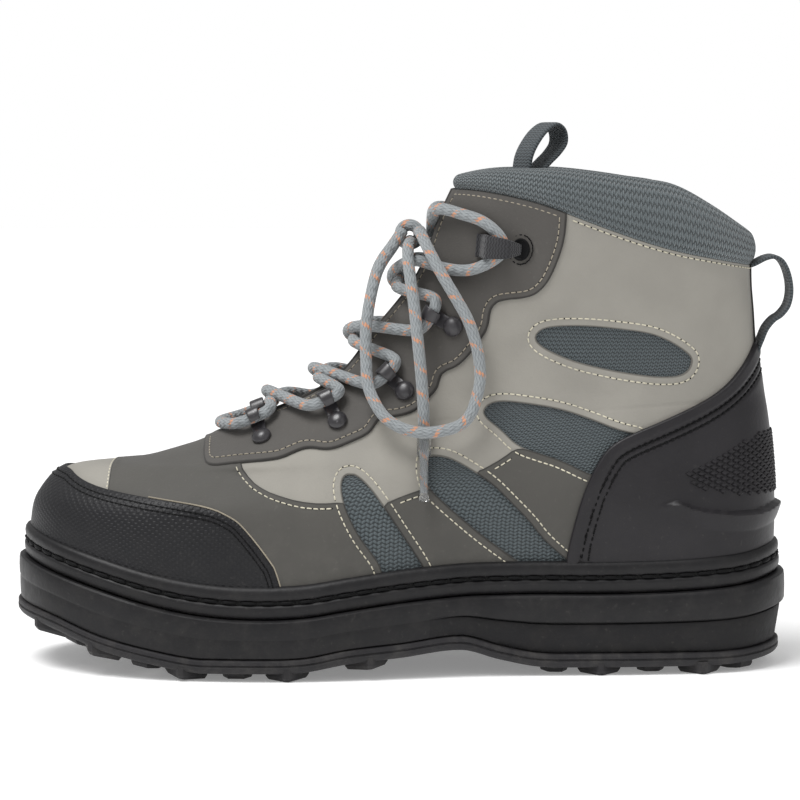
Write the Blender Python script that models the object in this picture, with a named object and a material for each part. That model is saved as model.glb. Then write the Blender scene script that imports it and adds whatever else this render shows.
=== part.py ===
"""Wading boot for the left foot, toe towards -X, outer side towards -Y, standing on z = 0.

Every curved piece comes from one upper: rings that lean from the front of the foot to its back,
counted in levels from the featherline (0) to the collar seam (11). An angle goes round a ring from
the front (0) over the outer side (90) to the heel (180) and back along the inner side.
"""

import math
from collections import namedtuple
from functools import lru_cache

import bmesh
import bpy
from mathutils import Matrix, Vector

# Driving sizes, in metres
LENGTH = 0.307
BALL_WIDTH = 0.097
SHAFT_HEIGHT = 0.1625
HEEL_STACK = 0.0335
TOE_SPRING = 0.018
ARCH_HEIGHT = 0.008
LUG_DEPTH = 0.0032
OUTSOLE_THICK = 0.0058
OUTSOLE_OUT = 0.0080
MIDSOLE_OUT = 0.0075
MIDSOLE_STEP = 0.0012
HEEL_TAPER = 0.0030
WELT_OUT = 0.0048
WELT_HEIGHT = 0.0132
WELT_GROOVE = 0.0010
UPPER_WALL = 0.0024
OVERLAY_WALL = 0.0014
COUNTER_WALL = 0.0018
KICK_RIDGE = 0.0028
INSOLE_THICK = 0.0040
TONGUE_THICK = 0.0060
TONGUE_LEAN = 0.030
TONGUE_GAP = 0.0014
COLLAR_PAD_HEIGHT = 0.026
COLLAR_PAD_THICK = 0.0095
COLLAR_PAD_BULGE = 0.0022
COLLAR_CROWN = 0.0048
LACE_DIAMETER = 0.0048
HOOK_DISC_RADIUS = 0.0043
HOOK_WALL = 0.0012
HOOK_WIDTH = 0.0062
WEBBING_THICK = 0.0020
HEEL_LOOP_WIDTH = 0.020
TONGUE_LOOP_WIDTH = 0.012
AGLET_RADIUS = 0.0021
FIT = 0.0003

Section = namedtuple(
    "Section",
    "name front front_rise back back_rise half05 half18 half37 half63 half82 half95",
)
# Places are shares of LENGTH from the toe, rises shares of SHAFT_HEIGHT above the sole, halves shares
# of BALL_WIDTH at 5, 18, 37, 63, 82 and 95 per cent of the ring's own length
SECTIONS = (
    Section("feather", 0.000, 0.000, 1.000, 0.000, 0.330, 0.493, 0.490, 0.340, 0.335, 0.278),
    Section("bumper", -0.001, 0.087, 1.002, 0.107, 0.340, 0.505, 0.495, 0.366, 0.361, 0.289),
    Section("toe rise", 0.010, 0.167, 1.002, 0.168, 0.299, 0.469, 0.474, 0.381, 0.376, 0.289),
    Section("toe top", 0.050, 0.255, 1.001, 0.236, 0.175, 0.351, 0.428, 0.387, 0.376, 0.278),
    Section("vamp", 0.138, 0.318, 0.997, 0.330, 0.175, 0.366, 0.397, 0.381, 0.364, 0.253),
    Section("vamp back", 0.213, 0.385, 0.992, 0.406, 0.175, 0.330, 0.356, 0.371, 0.351, 0.232),
    Section("throat", 0.282, 0.454, 0.987, 0.463, 0.170, 0.289, 0.345, 0.361, 0.340, 0.216),
    Section("instep", 0.399, 0.553, 0.982, 0.533, 0.155, 0.268, 0.340, 0.356, 0.325, 0.206),
    Section("ankle", 0.454, 0.665, 0.977, 0.603, 0.155, 0.273, 0.356, 0.366, 0.325, 0.201),
    Section("shin", 0.513, 0.793, 0.974, 0.678, 0.165, 0.299, 0.381, 0.387, 0.335, 0.201),
    Section("cuff", 0.542, 0.930, 0.971, 0.740, 0.180, 0.320, 0.402, 0.407, 0.351, 0.211),
    Section("collar", 0.560, 1.004, 0.970, 0.793, 0.191, 0.330, 0.418, 0.423, 0.361, 0.216),
)
SHARES = (0.05, 0.18, 0.37, 0.63, 0.82, 0.95)
TOP = len(SECTIONS) - 1
THROAT = 6

SoleRow = namedtuple("SoleRow", "place spring arch top")
# spring and arch lift the tread by shares of TOE_SPRING and ARCH_HEIGHT, top is a share of HEEL_STACK
SOLE = (
    SoleRow(-0.03, 1.00, 0.00, 1.382),
    SoleRow(0.03, 0.82, 0.00, 1.227),
    SoleRow(0.10, 0.43, 0.00, 1.051),
    SoleRow(0.17, 0.17, 0.00, 0.887),
    SoleRow(0.235, 0.00, 0.00, 0.782),
    SoleRow(0.30, 0.00, 0.00, 0.740),
    SoleRow(0.37, 0.00, 0.06, 0.758),
    SoleRow(0.43, 0.00, 0.45, 0.836),
    SoleRow(0.50, 0.00, 0.70, 0.919),
    SoleRow(0.58, 0.00, 1.00, 0.982),
    SoleRow(0.63, 0.00, 0.47, 0.991),
    SoleRow(0.685, 0.00, 0.05, 0.994),
    SoleRow(0.76, 0.00, 0.00, 0.988),
    SoleRow(0.85, 0.00, 0.00, 1.003),
    SoleRow(0.92, 0.00, 0.00, 1.042),
    SoleRow(0.97, 0.04, 0.00, 1.093),
    SoleRow(1.03, 0.14, 0.00, 1.209),
)

# The centre line's way towards the big toe, a share of BALL_WIDTH at each place
SwingRow = namedtuple("SwingRow", "place shift")
SWING = (
    SwingRow(0.00, 0.082),
    SwingRow(0.05, 0.062),
    SwingRow(0.18, 0.022),
    SwingRow(0.37, -0.028),
    SwingRow(0.63, -0.036),
    SwingRow(0.82, -0.006),
    SwingRow(1.00, 0.000),
)

# crown lifts the collar seam by a share of COLLAR_CROWN, pad is a share of COLLAR_PAD_HEIGHT
CollarRow = namedtuple("CollarRow", "share crown pad")
COLLAR = (
    CollarRow(0.00, 0.00, 0.16),
    CollarRow(0.06, 0.55, 0.28),
    CollarRow(0.15, 0.90, 0.40),
    CollarRow(0.28, 1.00, 0.53),
    CollarRow(0.37, 0.80, 0.65),
    CollarRow(0.48, 0.40, 0.79),
    CollarRow(0.61, 0.00, 0.92),
    CollarRow(0.74, -0.20, 1.00),
    CollarRow(0.88, -0.10, 0.83),
    CollarRow(1.00, 0.00, 0.60),
)

# Half of the throat's opening, in degrees round the ring, at each level
ThroatRow = namedtuple("ThroatRow", "level angle")
THROAT_EDGE = (
    ThroatRow(6.0, 0.0),
    ThroatRow(6.25, 11.0),
    ThroatRow(6.6, 15.0),
    ThroatRow(7.2, 17.0),
    ThroatRow(9.0, 18.5),
    ThroatRow(11.0, 21.0),
)

RINGS_ROUND = 32

MATERIALS = {
    "rubber": ((0.028, 0.027, 0.030), 0.62, 0.0),
    "tread": ((0.022, 0.021, 0.024), 0.70, 0.0),
    "counter": ((0.033, 0.031, 0.035), 0.55, 0.0),
    "toe_rubber": ((0.026, 0.026, 0.030), 0.60, 0.0),
    "leather": ((0.340, 0.320, 0.270), 0.62, 0.0),
    "facing": ((0.072, 0.066, 0.056), 0.65, 0.0),
    "knit": ((0.075, 0.100, 0.110), 0.85, 0.0),
    "foam": ((0.060, 0.062, 0.064), 0.90, 0.0),
    "webbing": ((0.060, 0.072, 0.080), 0.80, 0.0),
    "metal": ((0.030, 0.028, 0.031), 0.38, 0.6),
    "lace": ((0.310, 0.340, 0.360), 0.80, 0.0),
    "clear": ((0.700, 0.700, 0.680), 0.20, 0.0),
}


def clear_scene():
    """Remove every object that the file opens with."""
    for item in list(bpy.data.objects):
        bpy.data.objects.remove(item, do_unlink=True)


@lru_cache(maxsize=None)
def material(name):
    """The named finish, made on first use."""
    colour, roughness, metallic = MATERIALS[name]
    made = bpy.data.materials.new(name)
    made.use_nodes = True
    shader = made.node_tree.nodes["Principled BSDF"]
    shader.inputs["Base Color"].default_value = (*colour, 1.0)
    shader.inputs["Roughness"].default_value = roughness
    shader.inputs["Metallic"].default_value = metallic
    return made


def add_object(name, shape, finish, smooth_to=40.0):
    """Turn a bmesh into an object of that name and finish."""
    bmesh.ops.remove_doubles(shape, verts=shape.verts, dist=1e-6)
    bmesh.ops.dissolve_degenerate(shape, edges=shape.edges, dist=1e-7)
    bmesh.ops.recalc_face_normals(shape, faces=shape.faces)
    mesh = bpy.data.meshes.new(name)
    shape.to_mesh(mesh)
    shape.free()
    mesh.materials.append(material(finish))
    mesh.shade_smooth()
    mesh.set_sharp_from_angle(angle=math.radians(smooth_to))
    made = bpy.data.objects.new(name, mesh)
    bpy.context.collection.objects.link(made)
    return made


def hide(cutter):
    """Mark an object as a tool that is no part of the boot."""
    cutter.hide_render = True
    cutter.display_type = "WIRE"
    return cutter


def boolean(target, operation, cutter, cutter_overlaps_itself=False):
    """Cut, cross or join one object with a cutter."""
    step = target.modifiers.new(operation.lower(), "BOOLEAN")
    step.operation = operation
    step.solver = "EXACT"
    step.use_self = cutter_overlaps_itself
    step.object = hide(cutter)


def mix(start, end, share):
    """The value at a share of the way from start to end."""
    return start + (end - start) * share


def ease(value):
    """A soft step from 0 to 1."""
    value = min(max(value, 0.0), 1.0)
    return value * value * (3 - 2 * value)


def curve(keys, values, key):
    """The value at a key, on a smooth curve through the keys and values."""
    key = min(max(key, keys[0]), keys[-1])
    spot = 0
    while spot < len(keys) - 2 and key > keys[spot + 1]:
        spot += 1
    span = keys[spot + 1] - keys[spot]

    def slope(index):
        before = max(index - 1, 0)
        after = min(index + 1, len(keys) - 1)
        return (values[after] - values[before]) / (keys[after] - keys[before])

    part = (key - keys[spot]) / span
    first = (1 + 2 * part) * (1 - part) ** 2 * values[spot]
    second = part * (1 - part) ** 2 * span * slope(spot)
    third = part**2 * (3 - 2 * part) * values[spot + 1]
    fourth = part**2 * (part - 1) * span * slope(spot + 1)
    return first + second + third + fourth


def column(rows, key_name, value_name, key):
    """Read a table's column at a key."""
    keys = [getattr(row, key_name) for row in rows]
    values = [getattr(row, value_name) for row in rows]
    return curve(keys, values, key)


def at_place(place):
    """The x of a place along the foot."""
    return (place - 0.5) * LENGTH


def place_of(x):
    """The place along the foot of an x."""
    return x / LENGTH + 0.5


def sole_top(x):
    """Height of the midsole's top face."""
    return HEEL_STACK * column(SOLE, "place", "top", place_of(x))


def tread(x):
    """Height of the lugs' lowest faces."""
    place = place_of(x)
    spring = TOE_SPRING * column(SOLE, "place", "spring", place)
    arch = ARCH_HEIGHT * column(SOLE, "place", "arch", place)
    return max(spring, 0.0) + max(arch, 0.0)


def outsole_base(x):
    """Height of the outsole's face between the lugs."""
    return tread(x) + LUG_DEPTH


def outsole_top(x):
    """Height where the outsole meets the midsole."""
    return outsole_base(x) + OUTSOLE_THICK


def swing(x, level):
    """How far the centre line lies towards the inner side, less and less up the shaft."""
    shift = BALL_WIDTH * column(SWING, "place", "shift", place_of(x))
    return shift * (1 - ease(level / TOP))


@lru_cache(maxsize=None)
def ring(level):
    """Front, back and half widths of the ring at a level."""
    keys = list(range(len(SECTIONS)))

    def value(name):
        return curve(keys, [getattr(row, name) for row in SECTIONS], level)

    front = at_place(value("front"))
    back = at_place(value("back"))
    front_z = sole_top(front) + SHAFT_HEIGHT * value("front_rise") + FIT
    back_z = sole_top(back) + SHAFT_HEIGHT * value("back_rise") + FIT
    names = ("half05", "half18", "half37", "half63", "half82", "half95")
    halves = [BALL_WIDTH * value(name) for name in names]
    return front, front_z, back, back_z, halves


def half_width(halves, angle):
    """Half width at an angle from 0 to 180 degrees, round at both ends."""
    keys = [math.degrees(math.acos(1 - 2 * share)) for share in SHARES]
    keys = [-keys[0], 0.0, *keys, 180.0, 360.0 - keys[-1]]
    values = [-halves[0], 0.0, *halves, 0.0, -halves[-1]]
    return curve(keys, values, angle)


@lru_cache(maxsize=None)
def skin(level, angle):
    """A point of the upper's outer face."""
    front, front_z, back, back_z, halves = ring(level)
    angle = (angle + 180) % 360 - 180
    share = (1 - math.cos(math.radians(angle))) / 2
    x = mix(front, back, share)
    z = mix(front_z, back_z, share)
    sag = sole_top(x) - mix(sole_top(front), sole_top(back), share)
    z += sag * (1 - ease(level / 2))
    crown = COLLAR_CROWN * column(COLLAR, "share", "crown", share)
    z += crown * ease((level - TOP + 3) / 3)
    side = -1 if angle >= 0 else 1
    return Vector((x, swing(x, level) + side * half_width(halves, abs(angle)), z))


def outward(level, angle):
    """The unit vector that points out of the upper."""
    step = 0.05
    low = max(level - step, 0.0)
    high = min(level + step, float(TOP))
    up = skin(high, angle) - skin(low, angle)
    turn = 1.0
    angle %= 360
    round_ring = skin(level, angle + turn) - skin(level, angle - turn)
    return round_ring.cross(up).normalized()


def surface(level, angle, out):
    """A point at a distance outside the upper's outer face."""
    return skin(level, angle) + outward(level, angle) * out


def throat_edge(level):
    """Half of the throat's opening, in degrees."""
    if level <= THROAT:
        return 0.0
    return column(THROAT_EDGE, "level", "angle", level)


def spread(start, end, count):
    """Evenly spaced values, both ends included."""
    return [mix(start, end, step / (count - 1)) for step in range(count)]


def net(shape, rows):
    """Triangles between rows of points, all split the same way so that parallel walls stay apart."""
    for low, high in zip(rows, rows[1:]):
        for index in range(len(low) - 1):
            shape.faces.new((low[index], low[index + 1], high[index + 1]))
            shape.faces.new((low[index], high[index + 1], high[index]))


def shell(name, strips, inner, outer, finish):
    """A wall between two distances from the upper, made of strips.

    A strip is rows of (level, angle), and inner and outer give the distance at each. Where two strips
    or both ends of one meet at the front they share their points, so no wall is put between them.
    """
    shape = bmesh.new()
    for strip in strips:
        faces = []
        for distance in (outer, inner):
            grid = []
            for row in strip:
                points = [surface(level, angle, distance(level, angle)) for level, angle in row]
                grid.append([shape.verts.new(point) for point in points])
            faces.append(grid)
        outside, inside = faces
        net(shape, outside)
        net(shape, inside)
        net(shape, [outside[0], inside[0]])
        net(shape, [inside[-1], outside[-1]])
        for end in (0, -1):
            for step in range(len(strip) - 1):
                if any(strip[step + more][end][1] % 360 > 1e-6 for more in (0, 1)):
                    corners = (
                        outside[step][end],
                        outside[step + 1][end],
                        inside[step + 1][end],
                        inside[step][end],
                    )
                    shape.faces.new(corners)
    return add_object(name, shape, finish)


def constant(value):
    """A distance that is the same everywhere."""
    return lambda level, angle: value


def prism(name, outline, start_y, end_y):
    """An upright cutter that runs across the boot, from an outline of x and z."""
    shape = bmesh.new()
    near = [shape.verts.new((x, start_y, z)) for x, z in outline]
    face = shape.faces.new(near)
    made = bmesh.ops.extrude_face_region(shape, geom=[face])
    far = [item for item in made["geom"] if isinstance(item, bmesh.types.BMVert)]
    bmesh.ops.translate(shape, vec=(0, end_y - start_y, 0), verts=far)
    return hide(add_object(name, shape, "foam"))


def foot_ring(out, height, up=0.0, step_in=0.0, taper=0.0):
    """Points round the upper's foot, moved out from where it is up over the sole, at height(x).

    step_in draws the ring in behind the arch, and taper draws it in at the back of the heel.
    """
    points = []
    for step in range(RINGS_ROUND):
        angle = 360.0 * step / RINGS_ROUND
        here = skin(foot_level(angle, up), angle)
        place = place_of(here.x)
        reach = out - step_in * ease((place - 0.52) / 0.10) - taper * ease((place - 0.80) / 0.20)
        here = here + level_way(angle) * reach
        points.append(Vector((here.x, here.y, height(here.x))))
    return points


@lru_cache(maxsize=None)
def level_way(angle):
    """The way out of the upper's foot, level with the floor."""
    way = outward(0.0, angle)
    way.z = 0.0
    return way.normalized()


@lru_cache(maxsize=None)
def foot_level(angle, up):
    """The level at which the upper is a height up over the sole's top."""
    low, high = 0.0, 2.0
    if up <= 0:
        return low
    for _ in range(24):
        middle = (low + high) / 2
        point = skin(middle, angle)
        if point.z < sole_top(point.x) + FIT + up:
            low = middle
        else:
            high = middle
    return high


def closed_band(shape, rings):
    """Side faces between closed rings of points, returned as rows of vertices."""
    rows = [[shape.verts.new(point) for point in points] for points in rings]
    net(shape, [row + row[:1] for row in rows])
    return rows


def cap(shape, row):
    """Close a foot-shaped ring with strips from side to side."""
    count = len(row)
    for step in range(count // 2):
        corners = (row[step], row[step + 1], row[(count - step - 1) % count], row[-step % count])
        unique = []
        for corner in corners:
            if corner not in unique:
                unique.append(corner)
        if len(unique) > 2:
            shape.faces.new(unique)


def slab(name, rings, finish):
    """A closed layer of the sole, from its lowest ring to its highest."""
    shape = bmesh.new()
    rows = closed_band(shape, rings)
    cap(shape, rows[0])
    cap(shape, rows[-1])
    return add_object(name, shape, finish)


Lug = namedtuple("Lug", "name inset length width sides outer inner")
# inset, length and width are metres, sides the corners of the lug's outline, and outer and inner the
# places along the two edges of the sole where one stands
EDGE_LUGS = (
    Lug("kite", 0.0110, 0.022, 0.018, 4, (0.03, 0.10, 0.215, 0.35, 0.455), (0.06, 0.165, 0.28, 0.41)),
    Lug("wedge", 0.0170, 0.025, 0.015, 6, (0.064, 0.157, 0.283), (0.112, 0.222, 0.345)),
    Lug("boss", 0.0330, 0.010, 0.010, 8, (0.115, 0.225), (0.115, 0.255)),
    Lug("kite", 0.0110, 0.022, 0.018, 4, (0.765, 0.90), (0.70, 0.835, 0.955)),
    Lug("wedge", 0.0165, 0.022, 0.014, 6, (0.705, 0.835, 0.96), (0.768, 0.90)),
)
CENTRE_LUGS = (
    Lug("kite", 0.0, 0.016, 0.016, 4, (0.055, 0.17, 0.29, 0.39), ()),
    Lug("boss", 0.0, 0.010, 0.010, 8, (0.34, 0.44, 0.865), ()),
    Lug("wedge", 0.0, 0.020, 0.014, 6, (0.105, 0.23, 0.77), ()),
)


def lug_prism(shape, centre, direction, lug):
    """One lug: an outline that tapers down from inside the outsole to the tread."""
    across = Vector((-direction.y, direction.x, 0))
    rows = []
    for part, sink in ((1.0, True), (0.78, False)):
        row = []
        for step in range(lug.sides):
            turn = 2 * math.pi * step / lug.sides
            along = math.cos(turn) * lug.length / 2 * part
            aside = math.sin(turn) * lug.width / 2 * part
            spot = centre + direction * along + across * aside
            height = outsole_base(spot.x) + OUTSOLE_THICK / 3 if sink else tread(spot.x)
            row.append(shape.verts.new((spot.x, spot.y, height)))
        rows.append(row)
    net(shape, [row + row[:1] for row in rows])
    for row in rows:
        shape.faces.new(row)


def edge_spot(place, inner, inset):
    """A point that lies an inset inside the sole's edge, and the way out from it."""
    target = at_place(place)
    low, high = 0.0, 180.0
    for _ in range(30):
        middle = (low + high) / 2
        if skin(0.0, middle).x < target:
            low = middle
        else:
            high = middle
    angle = 360 - low if inner else low
    way = level_way(angle)
    spot = skin(0.0, angle) + way * (OUTSOLE_OUT - inset)
    return spot, way


def outsole():
    """The rubber bottom with its lugs and screw bosses."""
    body = slab(
        "outsole",
        [
            foot_ring(OUTSOLE_OUT - 0.0022, outsole_base, taper=HEEL_TAPER),
            foot_ring(OUTSOLE_OUT, lambda x: outsole_base(x) + OUTSOLE_THICK * 0.5, taper=HEEL_TAPER),
            foot_ring(OUTSOLE_OUT - 0.0006, lambda x: outsole_top(x) - FIT / 2, taper=HEEL_TAPER),
        ],
        "tread",
    )
    lugs = bmesh.new()
    for lug in EDGE_LUGS:
        for inner, places in ((False, lug.outer), (True, lug.inner)):
            for place in places:
                spot, way = edge_spot(place, inner, lug.inset)
                lug_prism(lugs, spot, way, lug)
    for lug in CENTRE_LUGS:
        for place in lug.outer:
            x = at_place(place)
            lug_prism(lugs, Vector((x, swing(x, 0.0), 0.0)), Vector((1, 0, 0)), lug)
    boolean(body, "UNION", add_object("outsole_lugs", lugs, "tread"), cutter_overlaps_itself=True)


def midsole():
    """The thick side wall of the sole, with the step that runs round the heel."""

    def middle(part):
        return lambda x: mix(outsole_top(x) + FIT / 2, sole_top(x), part)

    slab(
        "midsole",
        [
            foot_ring(OUTSOLE_OUT - 0.0012, middle(0.0), step_in=MIDSOLE_STEP, taper=HEEL_TAPER * 0.7),
            foot_ring(MIDSOLE_OUT - 0.0004, middle(0.50), step_in=MIDSOLE_STEP, taper=HEEL_TAPER * 0.2),
            foot_ring(MIDSOLE_OUT - 0.0002, middle(0.56)),
            foot_ring(MIDSOLE_OUT - 0.0003, middle(0.92)),
            foot_ring(MIDSOLE_OUT - 0.0022, middle(1.0)),
        ],
        "rubber",
    )


def welt():
    """The stitched band round the upper's foot, grooved along its middle."""
    lip = 1.5 * FIT
    profile = (
        (lip, 0.00),
        (WELT_OUT - 0.0006, 0.00),
        (WELT_OUT, 0.10),
        (WELT_OUT, 0.38),
        (WELT_OUT - 0.0006 - WELT_GROOVE, 0.50),
        (WELT_OUT - 0.0010, 0.60),
        (WELT_OUT - 0.0014, 0.82),
        (WELT_OUT - 0.0026, 0.97),
        (lip, 1.00),
        (lip, 0.50),
    )
    rings = []
    for out, rise in profile:
        up = WELT_HEIGHT * rise
        rings.append(foot_ring(out, lambda x, up=up: sole_top(x) + FIT + up, up))
    shape = bmesh.new()
    closed_band(shape, rings + rings[:1])
    add_object("welt", shape, "rubber")


UPPER_LEVELS = (
    (0.0, 0.5, 1.2, 2.0, 3.0, 4.0, 5.0, 6.0)
    + (6.25, 6.6, 7.2, 7.8, 8.6, 9.7, 11.0)
)


def round_row(level):
    """Angles round the upper from one throat edge to the other."""
    edge = throat_edge(level)
    return spread(edge, 360 - edge, RINGS_ROUND + 1)


def upper():
    """The hollow upper, open at the collar, down the throat and underneath."""
    rows = [[(level, angle) for angle in round_row(level)] for level in UPPER_LEVELS]
    shell("upper", [rows], constant(-UPPER_WALL), constant(0.0), "leather")


def insole():
    """The foot bed, inside the upper and on the midsole."""
    inset = -UPPER_WALL - 2 * FIT

    def lifted(amount):
        return lambda x: sole_top(x) + FIT + amount

    slab(
        "insole",
        [
            foot_ring(inset - 0.0006, lifted(0.0)),
            foot_ring(inset - 0.0003, lifted(INSOLE_THICK * 0.5)),
            foot_ring(inset - 0.0012, lifted(INSOLE_THICK)),
        ],
        "foam",
    )


def overlay_rows(levels, first, last):
    """Rows on the upper's own columns, from just above the welt up through the levels."""
    rows = []
    for number, level in enumerate((0.0, *levels)):
        columns = round_row(level)
        columns = [angle - 360 for angle in columns[:-1]] + columns
        angles = columns[first + RINGS_ROUND : last + RINGS_ROUND + 1]
        row = []
        for angle in angles:
            foot = foot_level(angle, WELT_HEIGHT + FIT)
            row.append((max(level, foot + 0.02 * number), angle))
        rows.append(row)
    return rows


OutlinePoint = namedtuple("OutlinePoint", "place rise")
# Side outlines of the overlays: place along the foot, rise as a share of SHAFT_HEIGHT over HEEL_STACK
TOE_GUARD_OUTLINE = (
    OutlinePoint(-0.050, -0.300),
    OutlinePoint(-0.050, 0.290),
    OutlinePoint(0.042, 0.290),
    OutlinePoint(0.067, 0.265),
    OutlinePoint(0.097, 0.250),
    OutlinePoint(0.140, 0.239),
    OutlinePoint(0.195, 0.227),
    OutlinePoint(0.249, 0.215),
    OutlinePoint(0.275, 0.194),
    OutlinePoint(0.288, 0.177),
    OutlinePoint(0.315, 0.117),
    OutlinePoint(0.341, 0.045),
    OutlinePoint(0.360, -0.300),
)
COUNTER_OUTLINE = (
    OutlinePoint(1.060, -0.300),
    OutlinePoint(1.060, 0.640),
    OutlinePoint(0.978, 0.625),
    OutlinePoint(0.966, 0.585),
    OutlinePoint(0.952, 0.549),
    OutlinePoint(0.933, 0.510),
    OutlinePoint(0.905, 0.475),
    OutlinePoint(0.857, 0.434),
    OutlinePoint(0.804, 0.393),
    OutlinePoint(0.784, 0.373),
    OutlinePoint(0.770, 0.349),
    OutlinePoint(0.753, 0.291),
    OutlinePoint(0.741, 0.236),
    OutlinePoint(0.727, 0.134),
    OutlinePoint(0.721, 0.067),
    OutlinePoint(0.715, -0.300),
)
EYESTAY_OUTLINE = (
    OutlinePoint(0.500, 1.100),
    OutlinePoint(0.711, 1.100),
    OutlinePoint(0.711, 0.940),
    OutlinePoint(0.709, 0.877),
    OutlinePoint(0.692, 0.797),
    OutlinePoint(0.682, 0.764),
    OutlinePoint(0.672, 0.747),
    OutlinePoint(0.648, 0.741),
    OutlinePoint(0.626, 0.735),
    OutlinePoint(0.619, 0.718),
    OutlinePoint(0.615, 0.668),
    OutlinePoint(0.605, 0.635),
    OutlinePoint(0.576, 0.569),
    OutlinePoint(0.555, 0.558),
    OutlinePoint(0.551, 0.546),
    OutlinePoint(0.548, 0.514),
    OutlinePoint(0.539, 0.494),
    OutlinePoint(0.521, 0.459),
    OutlinePoint(0.499, 0.444),
    OutlinePoint(0.475, 0.440),
    OutlinePoint(0.467, 0.429),
    OutlinePoint(0.459, 0.400),
    OutlinePoint(0.432, 0.378),
    OutlinePoint(0.406, 0.358),
    OutlinePoint(0.374, 0.367),
    OutlinePoint(0.353, 0.348),
    OutlinePoint(0.340, 0.336),
    OutlinePoint(0.284, 0.322),
    OutlinePoint(0.249, 0.310),
    OutlinePoint(0.241, 0.323),
    OutlinePoint(0.237, 0.347),
    OutlinePoint(0.240, 0.420),
)


def outline_points(outline):
    """x and z of an overlay's side outline."""
    return [(at_place(point.place), HEEL_STACK + SHAFT_HEIGHT * point.rise) for point in outline]


def overlay(name, strips, outer, finish, outline):
    """A shell on the upper, trimmed to an outline seen from the side."""
    made = shell(name, strips, constant(1.4 * FIT), outer, finish)
    cutter = prism(name + "_outline", outline_points(outline), -BALL_WIDTH, BALL_WIDTH)
    boolean(made, "INTERSECT", cutter)


def toe_guard():
    """The rubber guard that wraps the toe, up to its low step on the vamp."""
    rows = overlay_rows((0.8, 1.2, 2.0, 3.0, 4.0), -7, 7)
    overlay("toe_guard", [rows], constant(FIT + OVERLAY_WALL), "toe_rubber", TOE_GUARD_OUTLINE)


def counter_distance(level, angle):
    """The counter's outer face, with the kick ridge that runs round the heel."""
    from_front = 180 - abs(180 - angle)
    centre = 1.57 + 0.55 * ease((148 - from_front) / 14)
    hump = max(1 - abs(level - centre) / 0.40, 0.0)
    ridge = KICK_RIDGE * ease(hump * 1.6) * ease((from_front - 131) / 16)
    return FIT + COUNTER_WALL + ridge


def heel_counter():
    """The moulded rubber counter round the heel."""
    levels = (1.0, 1.2, 1.36, 1.57, 1.8, 2.0, 2.3, 3.0, 4.0, 5.0, 6.0, 6.6, 7.2, 7.8, 8.6)
    rows = overlay_rows(levels, 9, 23)
    overlay("heel_counter", [rows], counter_distance, "counter", COUNTER_OUTLINE)


def eyestay():
    """The facing that carries the lace hooks, down both sides of the throat and round its foot."""
    levels = [level for level in UPPER_LEVELS if level >= 3.0]
    outer_side = [[(level, angle) for angle in round_row(level)[:9]] for level in levels]
    inner_side = [[(level, angle) for angle in round_row(level)[-9:]] for level in levels]
    overlay(
        "eyestay",
        [outer_side, inner_side],
        constant(FIT + OVERLAY_WALL),
        "facing",
        EYESTAY_OUTLINE,
    )


def collar_pad():
    """The padded knit collar that sits on the upper's edge and lines its mouth."""
    thick = COLLAR_PAD_THICK
    lining = -UPPER_WALL - 2 * FIT
    # Distance outside the upper, share of the pad's height, level of the upper that it starts from
    profile = (
        (0.0004, 0.00, TOP),
        (COLLAR_PAD_BULGE, 0.22, TOP),
        (COLLAR_PAD_BULGE, 0.62, TOP),
        (0.0004, 0.88, TOP),
        (-thick * 0.34, 1.00, TOP),
        (-thick * 0.72, 0.95, TOP),
        (-thick, 0.60, TOP),
        (-thick, 0.10, TOP),
        (-thick + 0.0014, 0.00, 10.5),
        (lining - 0.0016, 0.00, 10.1),
        (lining, 0.00, 10.2),
        (lining, 0.00, TOP),
    )
    edge = throat_edge(TOP)
    shape = bmesh.new()
    rows = []
    for angle in spread(edge, 360 - edge, 27):
        share = (1 - math.cos(math.radians(angle))) / 2
        height = COLLAR_PAD_HEIGHT * column(COLLAR, "share", "pad", share)
        row = []
        for out, rise, level in profile:
            point = surface(float(level), angle, out)
            point.z += height * rise + (FIT if level == TOP else 0.0)
            row.append(shape.verts.new(point))
        rows.append(row + row[:1])
    net(shape, rows)
    shape.faces.new(rows[0][:-1])
    shape.faces.new(rows[-1][:-1])
    add_object("collar_pad", shape, "knit")


def tongue_lean(level):
    """How far the tongue leans back from the throat at a level."""
    return TONGUE_LEAN * ease((level - 7.3) / 5.4)


def tongue_point(level, angle, out):
    """A point of the tongue, which rises past the collar seam above the top level."""
    point = surface(min(level, float(TOP)), angle, out)
    point.x += tongue_lean(level)
    point.z += SHAFT_HEIGHT * 0.055 * max(level - TOP, 0.0)
    return point


def tongue():
    """The padded tongue inside the throat."""
    levels = (5.2, 5.7, 6.2, 6.8, 7.5, 8.2, 8.9, 9.6, 10.3, 11.0, 11.6, 12.0)
    clear = UPPER_WALL + TONGUE_GAP
    shape = bmesh.new()
    rows = []
    for level in levels:
        half = mix(34.0, 50.0, ease((level - 5.2) / 5.0))
        angles = spread(-half, half, 9)
        swell = 0.55 if level in (levels[0], levels[-1]) else 1.0
        thickness = [
            TONGUE_THICK * swell * (0.35 + 0.65 * math.cos(angle / half * math.pi / 2)) for angle in angles
        ]
        front = [tongue_point(level, angle, -clear) for angle in angles]
        back = [
            tongue_point(level, angle, -clear - thick) for angle, thick in zip(angles, thickness)
        ]
        loop = [shape.verts.new(point) for point in front + back[::-1]]
        rows.append(loop + loop[:1])
    net(shape, rows)
    shape.faces.new(rows[0][:-1])
    shape.faces.new(rows[-1][:-1])
    add_object("tongue", shape, "knit")


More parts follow.
